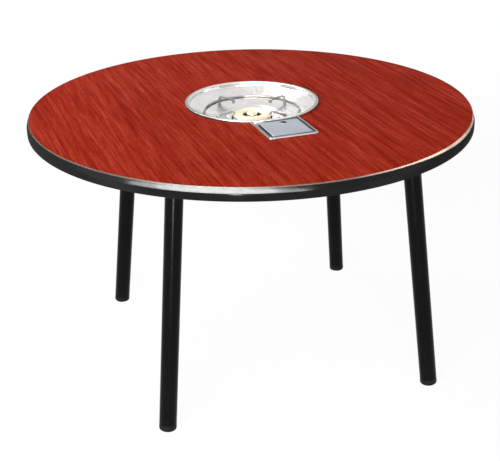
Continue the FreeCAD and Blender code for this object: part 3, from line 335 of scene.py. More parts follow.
# %% Finish: black powder coat
dusty_below = 0.22
tree, shader, place = new_finish("leg_paint", "black_powder_coat", {"Specular IOR Level": 0.07})
near_floor = spread(tree, split(tree, place)["Z"], dusty_below, 0.0)
dust = number(tree, "MULTIPLY", near_floor, clouds(tree, place, 55.0, 0.0, 0.5))
cover(tree, blend(tree, dust, paint(4, 4, 4), paint(14, 13, 12)), clouds(tree, place, 45.0, 0.17, 0.26))
skin(tree, shader, place, 700.0, 0.12)


# %% [markdown]
# The bowl and the pot support are polished stainless steel. The bowl was spun, so its polishing
# lines are circles about its middle, and the flap and the panel are brushed straight across. Two
# pictures could be stretched over them. The noise of one number does both: it gets the distance
# from the bowl's axis, or a length along the panel.

# %% Helpers for brushed steel
def across_bowl(tree, place):
    """Distance from the bowl's axis, in metres."""
    centred = add(tree, "ShaderNodeMapping", None,
                  {"Vector": place, "Location": (-bowl_centre.x, -bowl_centre.y, 0.0)})
    return from_axis(tree, centred.outputs["Vector"])


def on_panel(tree, place):
    """Coordinates that are turned with the cooker, from the bowl's middle on the table's surface."""
    turned = add(tree, "ShaderNodeMapping", {"vector_type": "TEXTURE"},
                 {"Vector": place, "Location": bowl_centre, "Rotation": (0.0, 0.0, cooker_turn)})
    return split(tree, turned.outputs["Vector"])


def across_panel(tree, place):
    """Distance along the control panel's depth, in metres."""
    return on_panel(tree, place)["Y"]


def steel_finish(slot, name, across, low, high, shade, tint, line_depth, line_scale):
    """Stainless steel with brushed lines. Gives its tree and the bump of its lines."""
    tree, shader, place = new_finish(slot, name, {"Metallic": 1.0})
    lines = place_group(tree, brushed, across(tree, place), {"Scale": line_scale, "Low": low, "High": high})
    cover(tree, blend(tree, clouds(tree, place, 18.0), shade, tint), lines["Value"])
    return tree, bump(tree, shader, lines["Line"], 0.25, line_depth)


# %% [markdown]
# Spun sheet is never quite even, and a slow wave under the lines breaks up what the bowl mirrors.
# The pot support has been tinted by heat. The pressed sides of the panel and the flap were never
# brushed and are duller, and their colour is lightened to near white: a painted highlight for the
# light they catch. They could be a finish of their own, but their height tells them apart.

# %% Finishes: polished, heat-tinted and brushed stainless steel
def within(tree, value, low, high):
    """One where a value lies between two numbers, and zero elsewhere."""
    return number(tree, "COMPARE", value, (low + high) / 2, (high - low) / 2)


def linked_to(tree, label):
    """The output that is linked to an input of the finish's shader."""
    return tree.nodes["Principled BSDF"].inputs[label].links[0].from_socket


tree, line_bump = steel_finish("polished_stainless", "polished_stainless", across_bowl, 0.15, 0.25,
                               paint(214, 211, 209), paint(230, 228, 226), 0.02 * mm, 700.0)
bump(tree, line_bump, clouds(tree, own_place(tree), 26.0), 1.0, 1.0 * mm)
steel_finish("support_steel", "heat_tinted_steel", across_bowl, 0.20, 0.42,
             paint(102, 98, 94), paint(190, 188, 184), 0.03 * mm, 1200.0)
tree, line_bump = steel_finish("brushed_stainless", "brushed_stainless", across_panel, 0.24, 0.40,
                               paint(158, 165, 175), paint(172, 177, 187), 0.04 * mm, 1500.0)
side_low, side_high, side_roughness = surface + 2.4 * mm, surface + 4.8 * mm, 0.48
painted_bright_side = within(tree, split(tree, own_place(tree))["Z"], side_low, side_high)
# The near-white on the sides is a painted highlight.
cover(tree, blend(tree, painted_bright_side, linked_to(tree, "Base Color"), paint(250, 242, 236)),
      spread(tree, painted_bright_side, 0.0, 1.0, linked_to(tree, "Roughness"), side_roughness))

# %% [markdown]
# Some places on the steel are painted darker. The bowl's rim at its left and right gets a painted
# dark reflection, the groove inside the panel's border gets painted shade from the border and the
# flap, and the crown of the panel's side borders is tinted darker grey. Each place could be painted
# by hand. Here it is a share worked out from the piece's coordinates, and the share mixes a tint
# into the colour.

# %% Paint a dark reflection on the rim and shade in the groove, and darken the border crown
rim_start, rim_full = 173.6 * mm, 175.2 * mm
reflection_start, reflection_full = 70.0 * mm, 150.0 * mm
panel_inside, panel_near = 62.2 * mm, -309.0 * mm
crown_levels, groove_levels = (4.85 * mm, 6.45 * mm), (2.0 * mm, 4.7 * mm)


def rim_painted_reflection(tree, place):
    """Share of the bowl's rim that gets a painted dark reflection, growing toward its left and right."""
    rim = spread(tree, across_bowl(tree, place), rim_start, rim_full)
    away = number(tree, "ABSOLUTE", number(tree, "SUBTRACT", split(tree, place)["X"], bowl_centre.x))
    return number(tree, "MULTIPLY", rim, spread(tree, away, reflection_start, reflection_full))


def border_crown(tree, place):
    """Share of the panel's left and right border, at its highest."""
    parts = on_panel(tree, place)
    beside = number(tree, "SUBTRACT", 1.0, within(tree, parts["X"], -panel_inside, panel_inside))
    return number(tree, "MULTIPLY", within(tree, parts["Z"], *crown_levels), beside)


def groove_painted_shade(tree, place):
    """Share of the groove between the panel's border and the flap, where shade is painted."""
    parts = on_panel(tree, place)
    inside = number(tree, "MULTIPLY", within(tree, parts["X"], -panel_inside, panel_inside),
                    number(tree, "GREATER_THAN", parts["Y"], panel_near))
    return number(tree, "MULTIPLY", within(tree, parts["Z"], *groove_levels), inside)


# The rim's tint is a painted reflection, and the groove's tint is painted shade.
for slot, share_of, tint in (("polished_stainless", rim_painted_reflection, paint(146, 147, 138)),
                             ("brushed_stainless", border_crown, paint(134, 140, 137)),
                             ("brushed_stainless", groove_painted_shade, paint(96, 102, 100))):
    tree = finishes[slot].node_tree
    cover(tree, blend(tree, share_of(tree, own_place(tree)), linked_to(tree, "Base Color"), tint))
    print("darkened by", share_of.__name__)


# %% [markdown]
# The other plain materials are seen less. Each could be built like the ones above. They differ
# only in numbers, so one function makes bright zinc, cast iron, brass, plastics and rubber. Metals
# are metallic, and moulded plastic has a fine spark-eroded skin instead.

# %% Finishes: zinc, cast iron, brass, plastics, rubber, backing
def plain_finish(slot, name, values, shade, tint, low, high, skin_scale, skin_strength, cloud_scale,
                 finer=2.0):
    """A finish with clouds in its colour and finer ones in its gloss, under a skin."""
    tree, shader, place = new_finish(slot, name, values)
    cover(tree, blend(tree, clouds(tree, place, cloud_scale), shade, tint),
          clouds(tree, place, cloud_scale * finer, low, high))
    skin(tree, shader, place, skin_scale, skin_strength)


plain_finish("zinc_steel", "bright_zinc", {"Metallic": 1.0},
             paint(184, 184, 178), paint(206, 205, 198), 0.26, 0.40, 900.0, 0.06, 160.0, 1.7)
plain_finish("cast_iron", "grey_cast_iron", {"Metallic": 0.7},
             paint(58, 57, 56), paint(86, 84, 81), 0.55, 0.75, 520.0, 0.55, 70.0, 1.7)
plain_finish("brass", "machined_brass", {"Metallic": 1.0},
             paint(238, 218, 182), paint(249, 238, 212), 0.30, 0.42, 900.0, 0.08, 90.0, 1.7)
plain_finish("foot_plastic", "foot_plastic", {"Specular IOR Level": 0.12},
             paint(6, 6, 6), paint(12, 12, 11), 0.45, 0.62, 800.0, 0.30, 60.0)
plain_finish("knob_plastic", "knob_plastic", {},
             paint(22, 22, 23), paint(32, 32, 33), 0.34, 0.46, 1400.0, 0.20, 120.0)
plain_finish("seal_rubber", "seal_rubber", {},
             paint(26, 26, 26), paint(42, 41, 40), 0.65, 0.80, 700.0, 0.25, 50.0)
plain_finish("lead_insulation", "lead_insulation", {},
             paint(132, 40, 30), paint(158, 56, 42), 0.45, 0.60, 900.0, 0.15, 80.0)
plain_finish("backing", "backing_sheet", {"Specular IOR Level": 0.3},
             paint(176, 156, 128), paint(188, 168, 140), 0.55, 0.70, 500.0, 0.12, 9.0)

# %% [markdown]
# Galvanised sheet on the tub shows its zinc crystals, each with its own grey and its own gloss. The
# board under the laminate is chipboard, seen only at its cut edges, with chips that lie flat.
# Noise has no edges, so Voronoi cells make both: each has a random colour, whose channels serve
# as shares.

# %% Finishes: galvanised sheet and chipboard
def cell_share(tree, vector, scale):
    """Voronoi cells, and the channels of their random colours."""
    found = add(tree, "ShaderNodeTexVoronoi", None, {"Vector": vector, "Scale": scale}).outputs
    return found, add(tree, "ShaderNodeSeparateColor", None, {"Color": found["Color"]}).outputs


tree, shader, place = new_finish("galvanised", "galvanised_sheet", {"Metallic": 1.0})
shares = cell_share(tree, place, 95.0)[1]
cover(tree, blend(tree, shares["Green"], paint(150, 153, 156), paint(182, 184, 186)),
      spread(tree, shares["Red"], 0.0, 1.0, 0.30, 0.52))

tree, shader, place = new_finish("board", "chipboard", {"Specular IOR Level": 0.2, "Roughness": 0.85})
chips, shares = cell_share(tree, scaled(tree, place, (1.0, 1.0, 2.4)), 260.0)
cover(tree, blend(tree, shares["Red"], paint(150, 116, 78), paint(206, 176, 132)))
bump(tree, shader, chips["Distance"], 0.3, 0.6 * mm)

# %% [markdown]
# The igniter's and the sensor's uprights are dark glazed ceramic sleeves with a steel tip. They
# are one piece each in the model, so the height tells sleeve and tip apart.

# %% Finish: ceramic sleeves with steel tips
tip_length = 9.0 * mm
tree, shader, place = new_finish("ceramic", "ceramic_and_tip", {})
tip = number(tree, "GREATER_THAN", split(tree, place)["Z"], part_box("igniter")[1].z - tip_length)
join(tree, (tip, shader.inputs["Metallic"]))
cover(tree, blend(tree, tip, paint(44, 38, 34), paint(122, 118, 114)), clouds(tree, place, 300.0, 0.18, 0.34))

# %% [markdown]
# Each CAD piece takes the finish of its slot in the record. Its mesh is loose triangles, so it is
# welded and split at its real edges by two modifiers, which makes round faces look round and
# leaves the corners crisp. The mesh itself is not touched.

# %% Finish the CAD pieces
weld_distance = 0.002 * mm
crease_angle = math.radians(28)
slots = {row["node"]: row["material_slot"] for row in frame["record"]["subparts"]}
for name, piece in frame["nodes"].items():
    piece.data.materials.clear()
    piece.data.materials.append(finishes[slots[name]])
    for face in piece.data.polygons:
        face.use_smooth = True
    weld = piece.modifiers.new("Weld", "WELD")
    weld.merge_threshold = weld_distance
    crease = piece.modifiers.new("Crease", "EDGE_SPLIT")
    crease.split_angle = crease_angle
print("finished", len(slots), "pieces with", len(finishes), "finishes")


# %% [markdown]
# Geometry Nodes make new shapes from rules, and a rule can be read and changed where a finished
# mesh can't. Every tree here ends alike: copies become real, faces are shaded smooth but for sharp
# edges, and the finish is set.

# %% Helpers for Geometry Nodes
def geometry_tree(name, kinds):
    """An empty Geometry Nodes tree with named inputs."""
    tree = bpy.data.node_groups.new(name, "GeometryNodeTree")
    name_inputs(tree, {"Geometry": "Geometry", **kinds, "Sharp Angle": "Float", "Finish": "Material"})
    tree.interface.new_socket("Geometry", in_out="OUTPUT", socket_type="NodeSocketGeometry")
    print("tree", name)
    return tree, tree.nodes.new("NodeGroupInput").outputs


def end_tree(tree, given, geometry):
    """The end of a tree: real copies, smooth faces, sharp edges and the finish."""
    real = add(tree, "GeometryNodeRealizeInstances", None, {"Geometry": geometry})
    smooth = add(tree, "GeometryNodeSetShadeSmooth", None, {"Geometry": real.outputs["Geometry"]})
    bend = add(tree, "GeometryNodeInputMeshEdgeAngle").outputs["Unsigned Angle"]
    crisp = add(tree, "GeometryNodeSetShadeSmooth", {"domain": "EDGE"},
                {"Geometry": smooth.outputs["Geometry"], "Shade Smooth": False,
                 "Selection": number(tree, "GREATER_THAN", bend, given["Sharp Angle"])})
    dressed = add(tree, "GeometryNodeSetMaterial", None,
                  {"Geometry": crisp.outputs["Geometry"], "Material": given["Finish"]})
    join(tree, (dressed.outputs["Geometry"], tree.nodes.new("NodeGroupOutput").inputs["Geometry"]))


# %% [markdown]
# A tree runs as a modifier on a seed object. The modifier could stay, but a plain mesh is simpler
# to move by a joint, so the result is kept as a mesh and the seed goes.

# %% Helpers for pieces
def stand(name, data):
    """A new object with that data in the scene."""
    made = bpy.data.objects.new(name, data)
    bpy.context.scene.collection.objects.link(made)
    return made


def grow(name, mesh, tree, values):
    """Runs a Geometry Nodes tree on a mesh, and gives the result as a plain object."""
    seed = stand(name + "_seed", mesh)
    modifier = seed.modifiers.new(tree.name, "NODES")
    modifier.node_group = tree
    for item in tree.interface.items_tree:
        if item.in_out == "INPUT" and item.name in values:
            modifier[item.identifier] = values[item.name]
    graph = bpy.context.evaluated_depsgraph_get()
    made = bpy.data.meshes.new_from_object(seed.evaluated_get(graph))
    bpy.data.objects.remove(seed)
    shape = bmesh.new()
    shape.from_mesh(made)
    bmesh.ops.recalc_face_normals(shape, faces=shape.faces)
    shape.to_mesh(made)
    shape.free()
    made.name = name
    print("made", name, "with", len(made.polygons), "faces")
    return stand(name, made)


# %% [markdown]
# Pieces that are turned about an axis follow one rule: a section, carried round. The Screw modifier
# does that too. A tree also sets the finish and the sharp edges: a grid has one column for each
# step of the turn and one row for each point of the section, and every grid point is moved to its
# row's point, turned by its column's share of the circle.

# %% Tree: turned piece
turned, given = geometry_tree("Turned piece", {"Steps": "Int"})
count = add(turned, "GeometryNodeAttributeDomainSize", {"component": "MESH"}, {"Geometry": given["Geometry"]})
columns = number(turned, "ADD", given["Steps"], 1.0)
grid = add(turned, "GeometryNodeMeshGrid", None,
           {"Vertices X": count.outputs["Point Count"], "Vertices Y": columns})
index = add(turned, "GeometryNodeInputIndex").outputs["Index"]
row = number(turned, "FLOOR", number(turned, "DIVIDE", number(turned, "ADD", index, 0.5), columns))
column = number(turned, "SUBTRACT", index, number(turned, "MULTIPLY", row, columns))
angle = number(turned, "MULTIPLY", number(turned, "DIVIDE", column, given["Steps"]), 2 * math.pi)
position = add(turned, "GeometryNodeInputPosition").outputs["Position"]
sample = add(turned, "GeometryNodeSampleIndex", {"data_type": "FLOAT_VECTOR", "domain": "POINT"},
             {"Geometry": given["Geometry"], "Value": position, "Index": row})
carry = add(turned, "ShaderNodeVectorRotate", {"rotation_type": "Z_AXIS"},
            {"Vector": sample.outputs["Value"], "Angle": angle})
put = add(turned, "GeometryNodeSetPosition", None,
          {"Geometry": grid.outputs["Mesh"], "Position": carry.outputs["Vector"]})
close = add(turned, "GeometryNodeMergeByDistance", None,
            {"Geometry": put.outputs["Geometry"], "Distance": 0.001 * mm})
end_tree(turned, given, close.outputs["Geometry"])


# %% [markdown]
# A section of bent sheet is a line with rounded corners and a thickness. The next helper rounds
# the corners of a line of points, and moves it sideways by half the sheet. Both sides together
# close the section. The section stands in the XZ plane, and X is the distance from the axis.

# %% Helpers for sections
def heading(start, end):
    """Direction from one point to the next."""
    return (Vector(end) - Vector(start)).normalized()


def left_of(direction):
    """The direction a quarter turn to the left."""
    return Vector((-direction.y, direction.x))


def bent_line(points, radii, shift, pieces=8):
    """Points along a line with rounded corners, shift to its left."""
    line = [Vector(points[0]) + left_of(heading(points[0], points[1])) * shift]
    for index in range(1, len(points) - 1):
        inward = heading(points[index - 1], points[index])
        outward = heading(points[index], points[index + 1])
        turn = math.atan2(inward.x * outward.y - inward.y * outward.x, inward.dot(outward))
        painted_bright_side = 1 if turn > 0 else -1
        radius = radii[index - 1]
        normal = left_of(inward) * painted_bright_side
        centre = Vector(points[index]) - inward * radius * math.tan(abs(turn) / 2) + normal * radius
        spoke = -normal * (radius - painted_bright_side * shift)
        for step in range(pieces + 1):
            swing = turn * step / pieces
            line.append(centre + spoke * math.cos(swing) + left_of(spoke) * math.sin(swing))
    line.append(Vector(points[-1]) + left_of(heading(points[-2], points[-1])) * shift)
    return line


def section_mesh(name, loop):
    """A closed section as a chain of vertices."""
    mesh = bpy.data.meshes.new(name)
    closed = list(loop) + [loop[0]]
    mesh.from_pydata([(point.x, 0.0, point.y) for point in closed],
                     [(k, k + 1) for k in range(len(closed) - 1)], [])
    return mesh


def set_down(piece, centre):
    """Moves a finished piece's mesh to its place, so that its object stays at the origin."""
    piece.data.transform(Matrix.Translation(centre))
    piece.data.update()


# %% [markdown]
# The drip bowl is one pressing: a rolled rim that stands on the laminate, a step, a polished wall
# down to a crease, a shallow floor, and a recess for the burner. The CAD mesh has the same shape,
# but its facets would show in the polish, so it is made anew with more steps. The figures are its
# middle line, as distance from the axis and height over the table, in millimetres.

# %% Make the drip bowl
bowl_sheet = 1.0
rim_radius = 183.0
bowl_line = [(rim_radius - bowl_sheet / 2, 1.2), (rim_radius - bowl_sheet / 2, 6.5), (172.5, 6.5),
             (172.5, -5.5), (131.0, -25.0), (79.0, -33.0), (64.0, -47.5), (43.9, -47.5)]
bowl_bends = [2.4, 2.4, 6.0, 10.0, 4.0, 6.0]
upper_side = bent_line(bowl_line, bowl_bends, bowl_sheet / 2)
lower_side = bent_line(bowl_line, bowl_bends, -bowl_sheet / 2)
bowl_loop = [point * mm for point in upper_side + lower_side[::-1]]
bowl = grow("polished_drip_bowl", section_mesh("bowl_section", bowl_loop), turned,
            {"Steps": 240, "Sharp Angle": 0.7, "Finish": finishes["polished_stainless"]})
set_down(bowl, bowl_centre)
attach(bowl, "table")
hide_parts("drip_bowl")

# %% [markdown]
# The edging is an extruded strip round the board's edge. Its upper part leans back from a small
# lip at the laminate, and its lower part is upright: the leaning face is what catches the light
# all round. The bent line that made the bowl draws this section as well.

# %% Make the edging
band_bulge = 6.5 * mm
board_radius = band_radius - band_bulge
half_band = (band_high.z - band_low.z) / 2
nose = bent_line([(board_radius, half_band), (board_radius + 1.0 * mm, half_band),
                  (band_radius, half_band - 15.5 * mm), (band_radius, -half_band),
                  (board_radius, -half_band)], [0.8 * mm, 10.0 * mm, 3.0 * mm], 0.0)
band = grow("glossy_edging", section_mesh("edging_section", nose), turned,
            {"Steps": 480, "Sharp Angle": 0.6, "Finish": finishes["edging"]})
set_down(band, Vector((0.0, 0.0, (band_high.z + band_low.z) / 2)))
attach(band, "table")
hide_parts("edge_band")


# %% [markdown]
# Screws repeat, so one is modelled and Geometry Nodes place it. A real pan head is domed and has
# a cross recess. The recess is cut with a Boolean once, on a small mesh, and the copies cost
# nothing to make.

# %% Helpers for one screw
def mesh_of(name, shape):
    """A mesh from a shape that is then let go."""
    mesh = bpy.data.meshes.new(name)
    shape.to_mesh(mesh)
    shape.free()
    return mesh


def ring(middle, radius, steps):
    """Points on a circle that lies flat round its middle."""
    swings = [2 * math.pi * k / steps for k in range(steps)]
    return [middle + Vector((math.cos(swing), math.sin(swing), 0.0)) * radius for swing in swings]


def lathe(outline, steps):
    """A small turned solid from (radius, height) points, closed at its axis."""
    shape = bmesh.new()
    rings = []
    for radius, height in outline:
        middle = Vector((0.0, 0.0, height))
        points = ring(middle, radius, steps) if radius else [middle]
        rings.append([shape.verts.new(point) for point in points])
    for low, high in zip(rings, rings[1:]):
        for k in range(steps):
            follow = (k + 1) % steps
            corners = [low[k % len(low)], low[follow % len(low)],
                       high[follow % len(high)], high[k % len(high)]]
            shape.faces.new(list(dict.fromkeys(corners)))
    bmesh.ops.recalc_face_normals(shape, faces=shape.faces)
    return mesh_of("turned_blank", shape)


def cross_head(name, radius, height, shank_radius, shank):
    """A pan head with a cross recess, and its shank, pointing up from the head."""
    outline = [(0.0, -height), (radius * 0.5, -height * 0.97), (radius * 0.8, -height * 0.8),
               (radius * 0.96, -height * 0.5), (radius, -height * 0.2), (radius, 0.0),
               (shank_radius, 0.0), (shank_radius, shank), (0.0, shank)]
    blank = stand(name, lathe(outline, 20))
    cutter_shape = bmesh.new()
    for turn in (0, math.pi / 2):
        size = Matrix.Diagonal((radius * 1.15, radius * 0.26, height * 1.1, 1.0))
        bmesh.ops.create_cube(cutter_shape, size=1.0, matrix=Matrix.Translation((0, 0, -height))
                              @ Matrix.Rotation(turn, 4, "Z") @ size)
    cutter = stand(name + "_recess", mesh_of(name + "_recess", cutter_shape))
    boolean = blank.modifiers.new("Recess", "BOOLEAN")
    boolean.operation = "DIFFERENCE"
    boolean.solver = "EXACT"
    boolean.use_self = True
    boolean.object = cutter
    graph = bpy.context.evaluated_depsgraph_get()
    blank_mesh = bpy.data.meshes.new_from_object(blank.evaluated_get(graph))
    blank.modifiers.clear()
    blank.data = blank_mesh
    bpy.data.objects.remove(cutter)
    blank.hide_render = True
    print("modelled", name, "with", len(blank_mesh.polygons), "faces")
    return blank


# %% [markdown]
# The tree that places copies takes a mesh of points. Each point carries the direction in which
# its copy points, and a seed gives each screw its own turn, because no fitter lines them up.

# %% Tree: placed copies
placed, given = geometry_tree("Placed copies", {"Copy": "Object", "Seed": "Int", "Turn": "Float"})
source = add(placed, "GeometryNodeObjectInfo", None, {"Object": given["Copy"]})
aim = add(placed, "GeometryNodeInputNamedAttribute", {"data_type": "FLOAT_VECTOR"}, {"Name": "aim"})
face_aim = add(placed, "FunctionNodeAlignRotationToVector", {"axis": "Z"},
               {"Vector": aim.outputs["Attribute"]})
chance = add(placed, "FunctionNodeRandomValue", {"data_type": "FLOAT"},
             {3: given["Turn"], "Seed": given["Seed"]})
spin = add(placed, "ShaderNodeCombineXYZ", None, {"Z": chance.outputs[1]})
spin_rotation = add(placed, "FunctionNodeEulerToRotation", None, {"Euler": spin.outputs["Vector"]})
both = add(placed, "FunctionNodeRotateRotation", {"rotation_space": "LOCAL"},
           {"Rotation": face_aim.outputs["Rotation"], "Rotate By": spin_rotation.outputs["Rotation"]})
copies = add(placed, "GeometryNodeInstanceOnPoints", None,
             {"Points": given["Geometry"], "Instance": source.outputs["Geometry"],
              "Rotation": both.outputs["Rotation"]})
end_tree(placed, given, copies.outputs["Instances"])


# %% [markdown]
# Where the screws go is read from the CAD model: each loose solid of a fastener node has its own
# box, and the box gives the head's middle. So no table of places is needed.

# %% Helpers for places
def islands(node):
    """The boxes of a CAD node's separate solids, as lowest and highest corners."""
    shape = bmesh.new()
    shape.from_mesh(frame["nodes"][node].data)
    bmesh.ops.remove_doubles(shape, verts=shape.verts, dist=weld_distance)
    left = set(shape.verts)
    boxes = []
    while left:
        stack = [left.pop()]
        low, high = stack[0].co.copy(), stack[0].co.copy()
        while stack:
            vertex = stack.pop()
            low = Vector(map(min, low, vertex.co))
            high = Vector(map(max, high, vertex.co))
            for edge in vertex.link_edges:
                other = edge.other_vert(vertex)
                if other in left:
                    left.discard(other)
                    stack.append(other)
        boxes.append((low, high))
    shape.free()
    return sorted(boxes, key=lambda pair: (round(pair[0].x, 4), round(pair[0].y, 4)))


def point_mesh(name, places, direction):
    """A mesh of points, each with the direction that its copy takes."""
    mesh = bpy.data.meshes.new(name)
    mesh.from_pydata([tuple(place) for place in places], [], [])
    layer = mesh.attributes.new("aim", "FLOAT_VECTOR", "POINT")
    for item in layer.data:
        item.vector = direction
    return mesh


# %% [markdown]
# The top is screwed to the under-frame from below, so the board screws point up. The burner and
# the tap are held by smaller machine screws, with their heads up. Each could have a tree of its
# own, but one tree places them all: only the copy and the direction change.

# %% Place the screws
board_head, machine_head = 2.5 * mm, 2.0 * mm
any_turn = 6.283
screw = cross_head("wood_screw", 4.5 * mm, board_head, 2.25 * mm, 20.0 * mm)
machine_screw = cross_head("machine_screw", 3.5 * mm, machine_head, 2.0 * mm, 5.0 * mm)
for node, copy, seed, upward in (("board_screws", screw, 3, 1), ("burner_screws", machine_screw, 5, -1),
                                 ("tap_screws", machine_screw, 5, -1)):
    heads = [over(low, high, low.z + board_head if upward > 0 else high.z - machine_head)
             for low, high in islands(node)]
    group = grow(node + "_cross_head", point_mesh(node + "_points", heads, (0, 0, upward)), placed,
                 {"Copy": copy, "Seed": seed, "Turn": any_turn, "Sharp Angle": 0.6,
                  "Finish": finishes["zinc_steel"]})
    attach(group, "table")
    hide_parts(node)

# %% [markdown]
# The clamp screws have round thumb grips, and the knob has a skirt. Real ones are fluted so that
# they can be gripped, so small ribs go round each. One rib is a half-round bar, and the tree
# places all of them. The knob's ribs ride on the knob's own body, so that they turn with it.

# %% Add ribs to the thumb grips and the knob
grip_radius, grip_height, grip_sink = 9.0 * mm, 3.2 * mm, 0.2 * mm
skirt_height, skirt_sink = 2.4 * mm, 0.35 * mm
rib = stand("grip_rib", lathe([(0.0, -2.0 * mm), (0.7 * mm, -1.6 * mm), (0.8 * mm, 0.0),
                               (0.7 * mm, 1.6 * mm), (0.0, 2.0 * mm)], 8))
rib.hide_render = True
grip_ribs = [point for low, high in islands("clamp_screws")
             for point in ring(over(low, high, low.z + grip_height), grip_radius - grip_sink, 20)]
knob_low, knob_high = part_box("control_knob")
knob_middle = over(knob_low, knob_high, knob_low.z + skirt_height)
knob_ribs = ring(knob_middle, (knob_high.x - knob_low.x) / 2 - skirt_sink, 36)
for name, places, body, slot in (("thumb_grip_ribs", grip_ribs, "table", "zinc_steel"),
                                 ("knob_skirt_ribs", knob_ribs, "tap_knob", "knob_plastic")):
    group = grow(name, point_mesh(name + "_points", places, (0, 0, 1)), placed,
                 {"Copy": rib, "Seed": 1, "Turn": 0.0, "Sharp Angle": 1.2, "Finish": finishes[slot]})
    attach(group, body)

# %% [markdown]
# The coil spring under the knob is faceted in CAD, to keep it light. Here a spiral curve gets a
# round section, which is what Geometry Nodes do in two nodes. No edge of a wire is sharp, so its
# sharp angle is out of reach.

# %% Tree and piece: coil spring
coil, given = geometry_tree(
    "Coil spring", {"Turns": "Float", "Radius": "Float", "Height": "Float", "Wire": "Float"})
spiral = add(coil, "GeometryNodeCurveSpiral", None,
             {"Resolution": 28, "Rotations": given["Turns"], "Height": given["Height"],
              "Start Radius": given["Radius"], "End Radius": given["Radius"]})
wire_section = add(coil, "GeometryNodeCurvePrimitiveCircle", None, {"Resolution": 10, "Radius": given["Wire"]})
wire = add(coil, "GeometryNodeCurveToMesh", None,
           {"Curve": spiral.outputs["Curve"], "Profile Curve": wire_section.outputs["Curve"],
            "Fill Caps": True})
end_tree(coil, given, wire.outputs["Mesh"])
spring_low, spring_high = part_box("tap_spring")
wire_radius = 0.45 * mm
spring = grow("knob_return_spring", bpy.data.meshes.new("spring_start"), coil,
              {"Turns": 5.0, "Radius": (spring_high.x - spring_low.x) / 2 - wire_radius,
               "Height": spring_high.z - spring_low.z - 2 * wire_radius,
               "Wire": wire_radius, "Sharp Angle": math.pi, "Finish": finishes["zinc_steel"]})
set_down(spring, over(spring_low, spring_high, spring_low.z + wire_radius))
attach(spring, "table")
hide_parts("tap_spring")

# %% [markdown]
# A white line in the knob's pointer groove shows where the flame is set. It could be painted in
# the material, but real paint fills the groove almost to the top, so it is a thin inlay.

# %% Inlay in the pointer groove
tree, shader, place = new_finish("pointer", "pointer_white", {"Specular IOR Level": 0.4})
cover(tree, blend(tree, clouds(tree, place, 500.0), paint(224, 223, 218), paint(236, 235, 231)),
      clouds(tree, place, 300.0, 0.4, 0.55))
inlay_shape = bmesh.new()
bmesh.ops.create_cube(inlay_shape, size=1.0, matrix=Matrix.Translation((0.0, 7.0 * mm, 0.0))
                      @ Matrix.Diagonal((1.5 * mm, 12.0 * mm, 0.5 * mm, 1.0)))
bmesh.ops.bevel(inlay_shape, geom=inlay_shape.edges[:], offset=0.12 * mm, segments=2, affect="EDGES")
inlay = stand("pointer_inlay", mesh_of("pointer_inlay", inlay_shape))
inlay.data.materials.append(finishes["pointer"])
inlay.data.transform(Matrix.Translation((knob_middle.x, knob_middle.y, knob_high.z - 0.5 * mm))
                     @ Matrix.Rotation(cooker_turn, 4, "Z"))
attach(inlay, "tap_knob")

# %% [markdown]
# The screws and the rib that were copied were only needed while the trees ran, so they go again.

# %% Clear what was copied
for used in (screw, machine_screw, rib):
    bpy.data.objects.remove(used)
print("cleared the copied pieces")


# %% [markdown]
# The floor is pale and plain. To the camera and to reflections most of it is the white of the
# background, and near the table a share of it is a real diffuse floor, which keeps the shadow.

# %% Make the floor
def seen_directly(tree):
    """One for camera, mirror and glass rays, and zero for the rays that light things."""
    rays = add(tree, "ShaderNodeLightPath").outputs
    total = number(tree, "ADD", rays["Is Camera Ray"], rays["Is Glossy Ray"])
    total = number(tree, "ADD", total, rays["Is Transmission Ray"])
    total.node.use_clamp = True
    return total


half = 15.0
floor_mesh = bpy.data.meshes.new("floor")
floor_mesh.from_pydata([(-half, -half, 0.0), (half, -half, 0.0), (half, half, 0.0), (-half, half, 0.0)], [],
                       [(0, 1, 2, 3)])
floor = stand("floor", floor_mesh)
tree, shader, place = new_finish("floor", "pale_floor", {"Specular IOR Level": 0.0})
cover(tree, blend(tree, clouds(tree, place, 1.5), (0.93, 0.93, 0.93, 1.0), (0.95, 0.95, 0.95, 1.0)),
      clouds(tree, place, 3.0, 0.85, 0.95))
white_share = spread(tree, from_axis(tree, place), 1.2, 3.0, 0.92, 1.0)
white = add(tree, "ShaderNodeEmission", None, {"Color": (1.0, 1.0, 1.0, 1.0), "Strength": 1.0})
mixed = add(tree, "ShaderNodeMixShader", None,
            {0: number(tree, "MULTIPLY", seen_directly(tree), white_share),
             1: shader.outputs["BSDF"], 2: white.outputs["Emission"]})
join(tree, (mixed.outputs["Shader"], tree.nodes["Material Output"].inputs["Surface"]))
floor_mesh.materials.append(finishes["floor"])

# %% [markdown]
# The world is the same white to the camera and to reflections, and a weaker even light for
# everything else, so that the lamps give the shapes their shading.

# %% Make the world
fill_level = 0.08
world = bpy.data.worlds.new("studio")
world.use_nodes = True
bpy.context.scene.world = world
tree = world.node_tree
sky = tree.nodes["Background"]
sky.inputs["Color"].default_value = (1.0, 1.0, 1.0, 1.0)
join(tree, (spread(tree, seen_directly(tree), 0.0, 1.0, fill_level, 1.0), sky.inputs["Strength"]))
print("world fill", fill_level)


# %% [markdown]
# Softboxes are broad faces of light. Their power follows from how bright the face should be, so
# a lamp can be made larger without getting brighter. A wide low oval in front draws the long
# highlight on the glossy edging, and a shorter one over it makes the highlight's middle brighter
# than its ends. Both are rolled a little, so that they follow the curve which the edging mirrors.
# A round one behind lights the top, and a small low one draws a streak down a front leg.

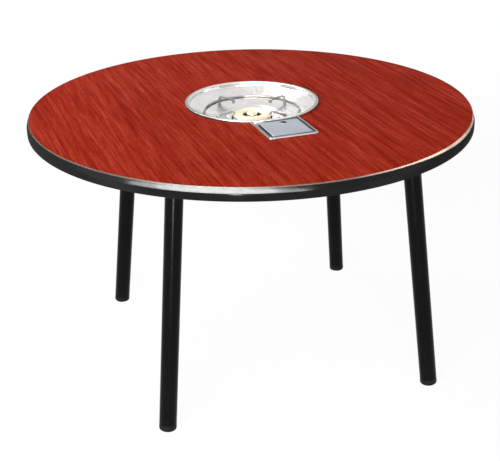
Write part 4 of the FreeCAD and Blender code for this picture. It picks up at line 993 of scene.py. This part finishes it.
# %% Place the lamps
def softbox(name, aim, azimuth, elevation, distance, width, height, brightness, roll=0.0):
    """An oval lamp that looks at a point. Azimuth 0 is in front, and positive is to the left."""
    lamp = bpy.data.lights.new(name, "AREA")
    lamp.shape = "ELLIPSE"
    lamp.size = width
    lamp.size_y = height
    lamp.energy = brightness * math.pi * (math.pi / 4 * width * height)
    box = stand(name, lamp)
    turn, rise = math.radians(azimuth), math.radians(elevation)
    away = Vector((-math.sin(turn) * math.cos(rise), -math.cos(turn) * math.cos(rise), math.sin(rise)))
    box.location = aim + away * distance
    box.rotation_mode = "QUATERNION"
    box.rotation_quaternion = away.to_track_quat("Z", "Y") @ Quaternion((0.0, 0.0, 1.0), math.radians(roll))
    print("lamp", name, "brightness", brightness)


top_middle = Vector((0.0, 0.0, surface))
leg_middle = Vector((0.0, 0.0, 0.26))
softbox("front_strip", top_middle, 32.0, 15.7, 6.0, 11.0, 0.70, 30.0, roll=1.8)
softbox("front_middle", top_middle, 31.5, 15.8, 5.9, 6.2, 0.70, 33.0, roll=2.4)
softbox("leg_strip", leg_middle, 22.0, 0.0, 3.3, 0.32, 0.50, 100.0)
softbox("back_left", top_middle, 140.0, 52.0, 2.6, 2.0, 2.0, 4.1)

# %% [markdown]
# The camera's place was worked out from the photograph: how flat the round top looks gives its
# height, and how much nearer the front legs look gives its distance. Its turn, tilt and lean are
# angles about the scene's axes.

# %% Set the camera
camera_turn = math.radians(15.52)
camera_distance = 2.6441
camera_rise = 0.8350
camera_tilt = math.radians(24.63)
camera_yaw = math.radians(0.141)
camera_lean = math.radians(-0.961)
camera_data = bpy.data.cameras.new("camera")
camera_data.sensor_width = 36.0
camera_data.lens = 72.75
camera = stand("camera", camera_data)
camera.location = (-camera_distance * math.sin(camera_turn), -camera_distance * math.cos(camera_turn),
                   surface + camera_rise)
camera.rotation_mode = "QUATERNION"
camera.rotation_quaternion = (Matrix.Rotation(camera_yaw - camera_turn, 3, "Z")
                              @ Matrix.Rotation(math.pi / 2 - camera_tilt, 3, "X")
                              @ Matrix.Rotation(camera_lean, 3, "Z")).to_quaternion()
bpy.context.scene.camera = camera
bpy.context.scene.view_settings.view_transform = "Standard"
print("camera at", camera.location.to_tuple(3))
